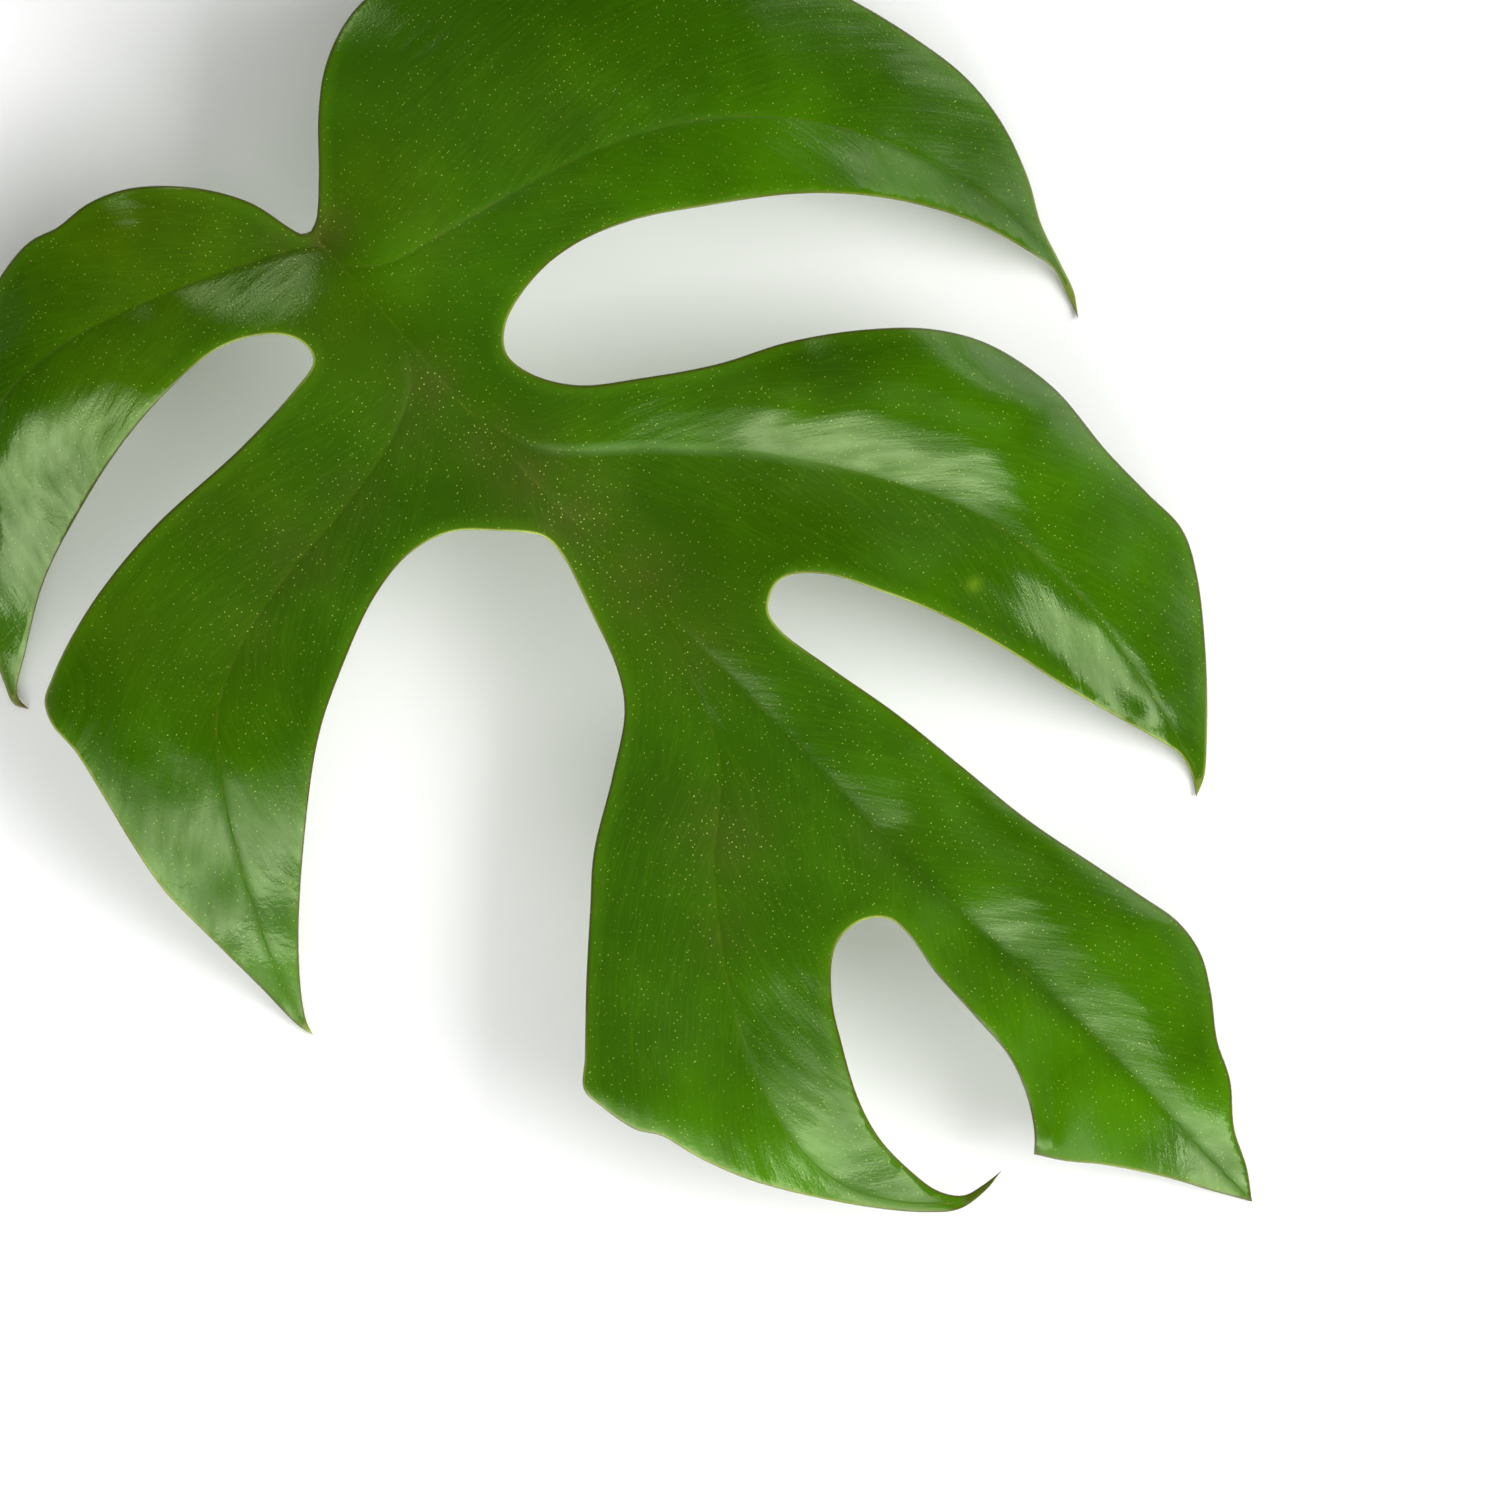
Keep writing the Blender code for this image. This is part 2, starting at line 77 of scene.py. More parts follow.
MARGINS = [
    [
        NOTCH, (-1.0, 1.6), (-4.5, 5.5), (-9.7, 10.5), (-13.2, 15.0), (-15.3, 20.0), (-15.8, 24.5),
        (-14.5, 31.5), (-11.0, 39.5), (-5.0, 47.5), (3.0, 54.8), (12.0, 60.6), (20.0, 64.4), (25.3, 66.3),
        (33.0, 68.3), (41.0, 69.5), (48.0, 68.8), (55.0, 66.4), (60.0, 63.7), (65.0, 62.1), (68.5, 60.9),
        UPPER_1_TIP,
    ],
    [
        UPPER_1_TIP, (68.0, 60.1), (65.0, 61.0), (61.0, 60.2), (55.0, 58.3), (49.0, 55.2), (43.0, 50.9),
        (37.0, 45.0), (30.5, 36.2), (25.5, 28.5), (22.8, 21.5), (22.3, 15.5), (23.8, 9.3), (26.4, 6.8),
        (30.0, 7.1), (35.0, 10.1), (40.0, 16.5), (45.0, 24.0), (49.0, 31.9), (54.5, 39.7), (60.0, 45.4),
        (66.0, 49.0), (75.0, 50.9), (85.0, 50.2), (92.0, 50.2), (98.0, 50.2), (103.0, 47.8), (111.0, 41.6),
        (118.0, 35.0), (121.3, 31.3), UPPER_2_TIP,
    ],
    [
        UPPER_2_TIP, (119.8, 30.5), (117.3, 31.1), (113.0, 30.1), (109.0, 28.9), (102.0, 26.9), (94.0, 25.0),
        (86.0, 22.5), (78.0, 18.9), (72.0, 15.6), (69.0, 12.2), (68.8, 10.2), (70.4, 7.7), (73.0, 7.1),
        (80.0, 8.2), (90.0, 10.1), (100.0, 11.3), (110.0, 12.5), (120.0, 14.6), (126.0, 15.9), (131.5, 16.9),
        (136.0, 16.2), (140.0, 14.0), (145.0, 10.3), (149.5, 8.1), (154.0, 4.4), (158.5, 2.2), TERMINAL_TIP,
    ],
    [TERMINAL_TIP, (158.0, -2.5), (152.0, -5.9), (146.0, -10.0), (142.5, -12.9), TERMINAL_CORNER],
    [
        TERMINAL_CORNER, (137.5, -13.2), (134.0, -10.9), (129.0, -9.0), (122.0, -8.5), (115.0, -8.2),
        (110.0, -7.4), (106.8, -7.8), (104.7, -10.4), (104.7, -14.4), (108.5, -18.9), (114.0, -22.4),
        (120.0, -25.5), (125.0, -26.9), (130.0, -27.0), (134.5, -26.3), (137.0, -24.5), (137.75, -22.0),
        LOWER_3_TIP,
    ],
    [
        LOWER_3_TIP, (138.5, -22.0), (137.9, -26.0), (135.3, -29.2), (130.0, -33.7), (123.0, -38.5),
        (117.0, -41.9), (111.0, -44.2), (106.5, -45.4), (103.8, -47.1), (99.0, -48.1), (96.0, -48.2),
        (93.3, -45.4), (87.0, -39.0), (81.0, -32.5), (76.5, -27.5), (71.5, -19.5), (67.0, -13.1),
        (63.0, -10.3), (55.0, -7.4), (48.5, -5.4), (45.3, -5.4), (41.0, -8.8), (37.0, -13.2), (35.5, -18.5),
        (36.3, -25.0), (40.0, -34.5), (43.5, -41.3), (50.0, -49.9), (60.0, -61.0), (66.5, -66.3),
        LOWER_2_TIP,
    ],
    [
        LOWER_2_TIP, (66.5, -67.6), (60.0, -67.6), (52.0, -67.7), (44.0, -67.7), (38.0, -66.7), (30.0, -64.8),
        (24.5, -63.6), (20.0, -63.3), (17.5, -62.0), (16.1, -59.3), (14.5, -55.0), (12.8, -48.0),
        (11.8, -38.0), (12.3, -24.0), (11.9, -15.0), (11.0, -10.5), (9.0, -9.8), (6.3, -10.8), (3.5, -14.0),
        (1.7, -18.5), (1.3, -26.0), (2.0, -34.0), (3.9, -42.5), (7.0, -52.0), (11.4, -59.5), (14.5, -64.0),
        LOWER_1_TIP,
    ],
    [
        LOWER_1_TIP, (15.0, -65.1), (11.8, -63.9), (5.0, -60.8), (-2.0, -57.2), (-9.0, -52.7), (-15.0, -46.8),
        (-19.5, -39.5), (-22.0, -33.0), (-23.2, -27.0), (-23.1, -24.3), (-22.1, -21.3), (-21.5, -16.5),
        (-19.3, -11.7), (-14.0, -6.2), (-8.0, -2.6), (-2.5, -1.3), (-1.0, -0.8), NOTCH,
    ],
]

# The main veins, each from the midrib to its lobe's tip.
MIDRIB = [
    (0.8, 0.1), (15.0, -0.5), (30.0, -1.4), (60.0, -1.2), (85.0, -1.0), (105.0, -1.3), (120.0, -0.6),
    (135.0, 0.1), (160.5, -0.3),
]
SIDE_VEINS = [
    [
        (5.0, 0.0), (8.5, 3.5), (10.5, 10.0), (13.0, 20.0), (16.0, 30.0), (20.0, 39.0), (25.0, 46.0),
        (32.0, 52.5), (42.0, 58.0), (52.0, 61.0), (60.0, 62.1), (67.0, 61.0),
    ],
    [
        (28.0, -1.3), (37.0, 1.6), (47.0, 11.8), (56.0, 20.0), (64.0, 25.6), (72.0, 30.2), (80.0, 33.8),
        (90.0, 35.6), (100.0, 35.4), (108.0, 34.0), (114.0, 32.9), (120.5, 31.1),
    ],
    [
        (1.5, 0.1), (-1.0, -4.0), (-4.0, -10.0), (-8.0, -19.4), (-11.5, -30.0), (-12.0, -40.0),
        (-8.0, -49.0), (0.0, -56.0), (8.0, -61.2), (14.0, -64.3),
    ],
    [
        (16.0, -0.6), (21.0, -4.0), (24.0, -10.0), (26.0, -20.0), (27.0, -30.0), (29.0, -40.0),
        (33.0, -48.0), (42.0, -55.5), (50.0, -60.0), (58.0, -64.0), (66.5, -66.9),
    ],
    [
        (57.0, -1.3), (66.0, -3.0), (79.0, -9.0), (87.4, -18.0), (96.0, -25.0), (104.5, -30.0),
        (115.0, -34.0), (121.0, -34.8), (127.0, -33.7), (133.0, -30.0), (137.3, -25.5),
    ],
]

# Heights of the smooth sheet that the blade follows, as (x, y, height): along each main vein, along the
# raised and the drooping margins, and over the swell of each panel between them.
HEIGHTS = {
    "midrib": [
        (0, 0, 31), (20, 0, 34.5), (40, 0, 36), (60, 0, 36), (80, 0, 34.5), (100, 0, 31), (120, 0, 25),
        (135, 0, 18.5), (148, 0, 11), (161.9, -0.2, 0.7),
    ],
    "terminal lobe": [
        (73, 7.1, 36.5), (95, 10.8, 32.6), (115, 13.8, 25), (131, 16.9, 16.8), (140, 14, 13.8),
        (149.5, 8, 10.2), (156, 3.3, 6.2), (105, 6, 31), (122, 7, 25.2), (137, 7.5, 18), (110, -7.4, 30),
        (122, -8.5, 26), (131, -9.8, 22.2), (139.3, -15, 17.6), (146, -10, 12.2), (155, -4, 4.4),
        (128, -5.5, 22.6), (141, -7, 16.2),
    ],
    "first upper lobe": [
        (13, 20, 35.2), (20, 39, 31.5), (32, 52.5, 24.6), (42, 58, 18.8), (52, 61, 12.6), (61, 62, 7),
        (71.2, 59, 1.05), (-13.2, 15, 33), (-14.5, 31.5, 29.5), (-5, 47.5, 25), (12, 60.6, 20),
        (28, 67, 14.5), (48, 68.8, 8), (58, 64.8, 5.6), (0, 18, 35), (2, 38, 32), (18, 54, 25.4),
        (36, 63, 17), (22.3, 15.5, 36.4), (25.5, 28.5, 35.6), (33, 40, 32.6), (43, 50.9, 25.6),
        (55, 58.3, 14),
    ],
    "second upper lobe": [
        (47, 11.8, 33.5), (56, 20, 32.2), (64, 25.6, 30.4), (72, 30.2, 28.8), (80, 33.8, 26.2),
        (90, 35.6, 21.8), (100, 35.4, 15.8), (110, 33.5, 9.2), (122.3, 29, 0.7), (40, 16.5, 36),
        (49, 31.9, 32.5), (60, 45.4, 28.6), (75, 50.9, 22.8), (87, 50.2, 17.4), (98, 50.2, 10.6),
        (107, 44.8, 6.8), (116, 37, 3.6), (52, 26, 35.2), (60, 33, 34.4), (70, 40, 31.8), (84, 43, 23.6),
        (97, 42.5, 15), (69.5, 13, 34.4), (78, 18.9, 30), (86, 22.5, 24.6), (94, 25, 18.2),
        (102, 26.9, 12.2), (110, 29.2, 7), (117.3, 31.1, 3.4), (82, 28, 26.4), (90, 30, 21),
        (99, 31.2, 15),
    ],
    "third lower lobe": [
        (79, -9, 32.4), (87.4, -18, 30.6), (96, -25, 28.4), (104.5, -30, 25.8), (115, -34, 21.4),
        (124, -34.5, 16), (132, -30.6, 10.4), (137.6, -25, 7.2), (138.1, -19.1, 6.4), (104.5, -12, 30),
        (110, -20, 27), (120, -25.5, 21.6), (130, -27, 13), (55, -7.4, 34.5), (67, -13.1, 32),
        (76.5, -27.5, 30.4), (87, -39, 28.8), (96, -48, 27), (104, -47, 25.6), (117, -41.9, 20),
        (127, -36, 13), (80, -20, 31.2), (93, -34, 28.6), (105, -39, 25.8), (101, -20, 29),
    ],
    "second lower lobe": [
        (24, -10, 33.4), (26, -20, 32.6), (27, -30, 31.6), (29, -40, 30), (33, -48, 28),
        (42, -55.5, 23.4), (50, -60, 17.2), (59, -64.3, 9), (68.7, -67.1, 0.7), (11, -10.5, 34.2),
        (12.2, -24, 32.2), (12, -40, 29.4), (14.5, -55, 25.6), (20, -63.3, 23), (38, -66.7, 19.2),
        (54, -67.7, 10), (41, -8.8, 36), (35.5, -18.5, 34), (40, -34.5, 31.2), (50, -49.9, 24.2),
        (60, -61, 10.4), (19, -36, 31.2), (24, -54, 27.2), (33, -32, 32), (30, -64.8, 22),
    ],
    "first lower lobe": [
        (-4, -10, 30.2), (-8, -19.4, 29.4), (-11.5, -30, 26.8), (-12, -40, 22.4), (-8, -49, 16.4),
        (0, -56, 10), (8, -61.2, 4.6), (14.4, -64.4, 1.6), (16.7, -64.2, 1.1), (-8, -2.6, 30),
        (-19.3, -11.7, 27), (-23.2, -26, 23), (-19.5, -39.5, 17.6), (-9, -52.7, 11.6), (5, -60.8, 4.8),
        (6.3, -10.8, 33.6), (1.5, -20, 31.6), (2, -34, 24.6), (4.5, -45, 16.6), (10, -57.2, 7.2),
        (-14, -16, 29), (-4, -28, 28.8), (-3, -42, 20.2),
    ],
}

# Down the middle of the gap beside the first lower lobe, which hangs lower there than its neighbour
FREE_GAP = [
    (8.8, -10.5), (6.7, -18.0), (6.7, -30.0), (7.9, -42.0), (10.0, -51.0), (13.2, -58.0), (15.4, -62.0),
    (17.3, -63.3), (21.0, -66.5),
]
GAP_HALF_WIDTH = 1.2
GAP_FADE = 25.0
GAP_APART = 25.0

# The stalk's centre line below the joint, as (x, y, height)
STALK_SEAT = (2.6, -0.2)
STALK_PATH = [
    (2.8, -0.3, 21.0), (5.2, -0.6, 12.5), (11.5, -1.0, 5.4), (21.0, -1.2, 2.2), (34.0, -1.3, STALK_RADIUS),
]
JOINT_SHARE = 0.16
STALK_STEP = 1.5
STALK_SIDES = 28

# The finer blade's mesh, in millimetres: how far apart its points lie, and its rows beside the main veins
MARGIN_STEP = 0.6
UPPER_STEP = 0.72
LOWER_STEP = 1.15
UPPER_ROWS = (0.0, 0.22, 0.5, 0.95)
LOWER_ROWS = (0.0, 1.0, 2.0)
RIM_ROUNDING = 0.2
RIM_ROWS = [(0.3, 0.14, 0.2), (0.02, 0.5, 0.5), (0.3, 0.86, 0.8)]  # how far inwards, downwards and underside

# The fine veins: how steeply they leave the midrib and the side veins, how they bend and lean along them, how
# far apart they are numbered from one main vein and from one of its sides to the next, and where they fade
MIDRIB_SPLAY = 1.15
SIDE_VEIN_SPLAY = 2.3
SPLAY_BEND = 0.03
STRAND_LEAN = 0.6
VEINS_APART = 60.0
SIDES_APART = 27.0
CALM_WIDTH = 3.0

# The finer blade's relief, in millimetres: grooves over the main veins, swells along the fine ones, crinkles
GROOVE_DEPTH = 0.12
GROOVE_WIDTH = 0.32
SWELL_HEIGHT = 0.022
SWELL_SPACING = 3.4
SWELL_WANDER = 1.2
SWELL_DENTS = 3.0
SWELL_CLEAR = 3.0
CRINKLE_HEIGHT = 0.4
FOLD_HEIGHT = 0.07
FOLD_WIDTH = 0.35
RELIEF_GRAINS = [(11.0, 3.0), (5.5, 1.0), (2.6, 7.0)]  # each noise's grain, and the layer that it is cut from

# What the mesh carries from the veins to the material: the distance to the nearest main vein, the number of
# the fine vein, how far along it a place lies, and 0 to 1 for how far it is from where two sets of them meet
CARRIED = ("vein", "strand", "onward", "calm")

# Where the blade is crinkled, dull and so on, as (x, y, radius, strength) in the leaf's plan. All are placed
# to match the photo. Dull ones end the gloss where its sheen ends. The paler greens are partly painted light
# where the blade faces the lamps, and the darker green in the midrib's groove is painted shade.
PATCHES = {
    "crinkle": [
        (52, -61, 11, 1.0), (36, -54, 9, 0.5), (3, -46, 9, 0.6), (8, -58, 7, 0.8), (126, -31, 9, 0.5),
        (152, 0, 8, 0.7), (140, -9, 7, 0.5), (110, 36, 9, 0.5), (62, 62, 7, 0.5),
    ],
    "pale_vein": [
        (39, 4, 3.6, 0.6), (43, 8, 6, 1.0), (49, 14, 7, 0.9), (58, 21.5, 7, 0.6), (12, 18, 9, 0.15),
        (22, 43, 9, 0.12), (22, -5, 5, 0.1), (108, -31, 6, 0.15),
    ],
    # Painted shade along the midrib's groove towards the tip
    "groove_shade": [
        (74, -1, 8, 0.5), (84, -1, 8, 0.7), (94, -1, 8, 0.7), (106, -1.2, 8, 0.8), (118, -0.8, 8, 1.0),
        (128, -0.3, 8, 1.0), (138, 0, 7, 0.7), (147, 0, 6, 0.4),
    ],
    # Pale at the cuts' ends, and painted light along the edges that face the lamps
    "pale_and_lit_rim": [
        (9, -10, 6, 1.0), (2.5, -16, 5, 0.6), (45.5, -5.4, 7, 1.0), (38, -12, 6, 0.7), (54, -7.4, 6, 0.6),
        (70, 8, 6, 0.9), (105, -9, 6, 0.7), (24, 9, 6, 0.5), (24, -63.6, 12, 0.8), (44, -67.7, 10, 0.7),
        (66, 61.5, 6, 0.6), (71, 59, 3, 1.0), (120, 30.4, 6, 0.5), (96, -48.2, 7, 0.5),
        (112, -43.6, 8, 0.5), (124, -37, 8, 0.5), (148, -8, 8, 0.5), (68.7, -67.1, 1.5, 1.0),
        (80, 19.5, 8, 0.8), (92, 24.3, 8, 0.9), (104, 27.5, 8, 0.9), (114, 30.4, 7, 0.8), (30, 36, 9, 0.3),
        (45, 52, 9, 0.4), (56, 59, 8, 0.5),
    ],
    "dull": [
        (36, -50, 9, 0.9), (28, -60, 9, 0.8), (34, -60, 8, 0.7), (43, -51, 7, 0.8), (43, -63, 3.5, 0.6),
        (38, -65, 6, 0.4), (48.5, -62.5, 4, 0.9), (56, -60, 5, 0.35), (106, -13, 6, 0.7), (144, 1, 5, 0.6),
        (139, 4.5, 4, 0.3), (141, -10, 7, 0.5), (113, -19, 7, 0.7), (120, -25, 6, 0.5), (104, 2, 5, 0.3),
        (127, 5, 5, 0.3), (100, 29, 5, 0.4), (-14, -15, 8, 0.6), (4, -36, 6, 0.4),
    ],
    "stain": [
        (39, -1.6, 5, 0.7), (46, -1.4, 6, 0.7), (57, -1.2, 5, 0.6), (68, -1.5, 5, 0.4), (25, -8, 5, 0.35),
        (26, -18, 4, 0.4), (26.5, -28, 5, 0.45), (28, -38, 4, 0.3), (86, -15, 6, 0.5), (94, -23, 4, 0.3),
        (0.5, 1, 3.5, 1.0), (-1.5, -3, 4, 0.5), (11, 10, 4, 0.2), (23, -2.6, 4, 0.8), (100, -1.2, 4, 0.2),
        (32, -2.8, 4, 0.6),
    ],
    "brown_tip": [
        (71.0, 59.1, 1.8, 1.0), (16.4, -64.3, 1.8, 1.0),
    ],
    "fleck": [
        (85.4, 27.6, 0.8, 0.5), (7, -21, 0.7, 0.2),
    ],
    "olive": [
        (-14, -15, 13, 0.7), (-3, -28, 11, 0.4), (10, -4, 10, 0.4), (16, -30, 10, 0.35),
        (17, -48, 10, 0.35), (30, -44, 9, 0.2), (2, 8, 10, 0.4), (8, 30, 14, 0.12), (40, 0, 12, 0.2),
        (60, 0, 12, 0.25), (60, 22, 12, 0.2),
    ],
    # Paler green: partly painted light where the blade faces the lamps, partly paler tissue at the tips
    "lit_and_paler": [
        (0, -26, 9, 0.3), (14, -44, 8, 0.3), (-16, -20, 9, 0.2), (10, 6, 6, 0.8), (33, 46, 9, 0.9),
        (26, 34, 8, 0.6), (45, 55, 6, 0.6), (68, 44, 9, 0.5), (84, 46, 9, 0.3), (95, 45, 8, 0.4),
        (142, -7, 8, 1.0), (130, -5, 7, 0.7), (112, -4, 7, 0.4), (120, -38, 7, 0.9), (134, 9, 7, 0.5),
        (150, 4, 5, 0.6), (108, -42, 7, 0.5), (9, -58, 5, 1.0), (15, 12, 9, 0.5), (92, 6, 8, 0.2),
        (62, -63, 6, 0.6),
    ],
}

# The lights, as (name, direction from the leaf, distance, size, power, mirrored), in metres and watts. A
# mirrored one shows only in the leaf's gloss, and the others give only soft light.
LIT_PLACE = (0, 0, 0.02)
LIGHTS = [
    ("sheen panel", (0.66, -0.75, 0.325), 1.2, (1.8, 0.62), 21.0, True),
    ("sheen spill", (0.66, -0.75, 0.78), 1.2, (1.8, 0.27), 3.0, True),
    ("low strip", (0.04, 1.0, 0.09), 1.2, (0.9, 0.15), 0.9, True),
    ("far window", (-0.94, 0.33, 0.9), 1.2, (0.38, 0.19), 0.9, True),
    ("key", (0.75, -0.66, 0.5), 1.2, (1.2, 0.5), 12.0, False),
    ("side", (0.75, 0.66, 1.3), 1.2, (0.9, 0.7), 13.5, False),
    ("overhead", (0, 0, 1), 1.3, (1.6, 1.6), 11.0, False),
]
TABLE_SIZE = 2.6
WALL_TOP = (0.05, 0.35)  # the sines of the heights above the horizon where the walls darken to the ceiling
WALL_LIGHT = 0.4
CEILING_LIGHT = 0.03

# The camera: straight above, turned so that the leaf lies as in the photograph
VIEW_WIDTH = 181.44
VIEW_PLACE = (12.44, -6.35)
VIEW_HEIGHT = 18.0
VIEW_TURN = 45.72
LENS = 1200.0
SENSOR = 36.0


def smooth_curve(points, step):
    """Points every step or so along the centripetal curve that runs through all the given ones."""
    given = np.array(points, float)
    padded = np.vstack([2 * given[0] - given[1], given, 2 * given[-1] - given[-2]])
    spans = [given[:1]]
    for first, start, end, last in zip(padded, padded[1:], padded[2:], padded[3:]):
        t1 = np.linalg.norm(start - first) ** 0.5
        t2 = t1 + np.linalg.norm(end - start) ** 0.5
        t3 = t2 + np.linalg.norm(last - end) ** 0.5
        t = np.linspace(t1, t2, 25)[1:, None]
        a1 = (t1 - t) / t1 * first + t / t1 * start
        a2 = (t2 - t) / (t2 - t1) * start + (t - t1) / (t2 - t1) * end
        a3 = (t3 - t) / (t3 - t2) * end + (t - t2) / (t3 - t2) * last
        b1 = (t2 - t) / t2 * a1 + t / t2 * a2
        b2 = (t3 - t) / (t3 - t1) * a2 + (t - t1) / (t3 - t1) * a3
        spans.append((t2 - t) / (t2 - t1) * b1 + (t - t1) / (t2 - t1) * b2)
    dense = np.vstack(spans)
    along = np.concatenate([[0], np.cumsum(np.linalg.norm(np.diff(dense, axis=0), axis=1))])
    wanted = np.linspace(0, along[-1], max(2, round(along[-1] / step) + 1))
    return np.column_stack([np.interp(wanted, along, column) for column in dense.T])


def tree_of(plan):
    tree = kdtree.KDTree(len(plan))
    for i, (x, y) in enumerate(plan):
        tree.insert((x, y, 0.0), i)
    tree.balance()
    return tree


class Line:
    """A line of points in plan, asked how far a place is from it."""

    def __init__(self, points):
        self.points = np.array(points, float)
        self.steps = np.diff(self.points, axis=0)
        self.lengths = np.linalg.norm(self.steps, axis=1)
        self.run = np.concatenate([[0], np.cumsum(self.lengths)])
        self.tree = tree_of(self.points)

    def near(self, plan):
        """Each place's distance from the line, + on its left, and how far along the line that is."""
        index = np.array([self.tree.find((x, y, 0.0))[1] for x, y in plan])
        away = np.full(len(plan), np.inf)
        along = np.zeros(len(plan))
        for candidate in (index - 1, index):
            start = np.clip(candidate, 0, len(self.steps) - 1)
            step, length = self.steps[start], self.lengths[start]
            offset = plan - self.points[start]
            share = np.clip((offset * step).sum(axis=1) / length**2, 0, 1)
            offset = offset - share[:, None] * step
            distance = np.linalg.norm(offset, axis=1)
            left = np.where(step[:, 0] * offset[:, 1] >= step[:, 1] * offset[:, 0], 1.0, -1.0)
            closer = distance < np.abs(away)
            away = np.where(closer, left * distance, away)
            along = np.where(closer, self.run[start] + share * length, along)
        return away, along


class Sheet:
    """The smooth surface of least bending through the chosen heights, which may part along the free gap."""

    UNIT = 100.0

    def __init__(self, controls):
        chosen = np.array(controls, float)
        self.places = self.spread(chosen[:, :2])
        count = len(chosen)
        plane = np.column_stack([np.ones(count), self.places[:, :2]])
        system = np.zeros((count + 3, count + 3))
        system[:count, :count] = self.bending(self.places)
        system[:count, count:] = plane
        system[count:, :count] = plane.T
        self.weights = np.linalg.solve(system, np.concatenate([chosen[:, 2], np.zeros(3)]))

    def spread(self, plan):
        """The places with a third number, which sets the lobe on the free gap's left apart from the rest."""
        gap = np.array(FREE_GAP)
        away = plan[:, 0] - np.interp(-plan[:, 1], -gap[:, 1], gap[:, 0])
        freed = np.clip((gap[0, 1] - plan[:, 1]) / GAP_FADE, 0, 1)
        aside = freed**2 * (3 - 2 * freed) * (1 - np.tanh(away / GAP_HALF_WIDTH)) / 2
        return np.column_stack([plan, GAP_APART * aside]) / self.UNIT

    def bending(self, places):
        apart = ((places[:, None, :] - self.places[None, :, :]) ** 2).sum(axis=2)
        return 0.5 * apart * np.log(apart + 1e-12)

    def height(self, plan):
        places = self.spread(plan)
        plane = np.column_stack([np.ones(len(places)), places[:, :2]])
        return self.bending(places) @ self.weights[:-3] + plane @ self.weights[-3:]


class Vein:
    """A main vein: its line, its crease in the blade, and its rib below, which fade towards its tip."""

    def __init__(self, points, crease, rib):
        self.line = Line(smooth_curve(points, 0.5))
        self.crease = crease
        self.rib_depth, self.rib_width = rib

    def near(self, plan):
        away, along = self.line.near(plan)
        return away, along, 1 - (1 - RIB_AT_TIP) * along / self.line.run[-1]


def blended_most(fields):
    """The largest of several fields, with soft valleys where two are alike."""
    return (np.array(fields) ** 3).sum(axis=0) ** (1 / 3)


def patches(plan, places):
    """The strongest of several soft round patches at each place, from 0 to 1."""
    found = np.zeros(len(plan))
    for x, y, radius, strength in places:
        apart = np.hypot(plan[:, 0] - x, plan[:, 1] - y) / radius
        found = np.maximum(found, strength * np.exp(-(apart**2)))
    return found


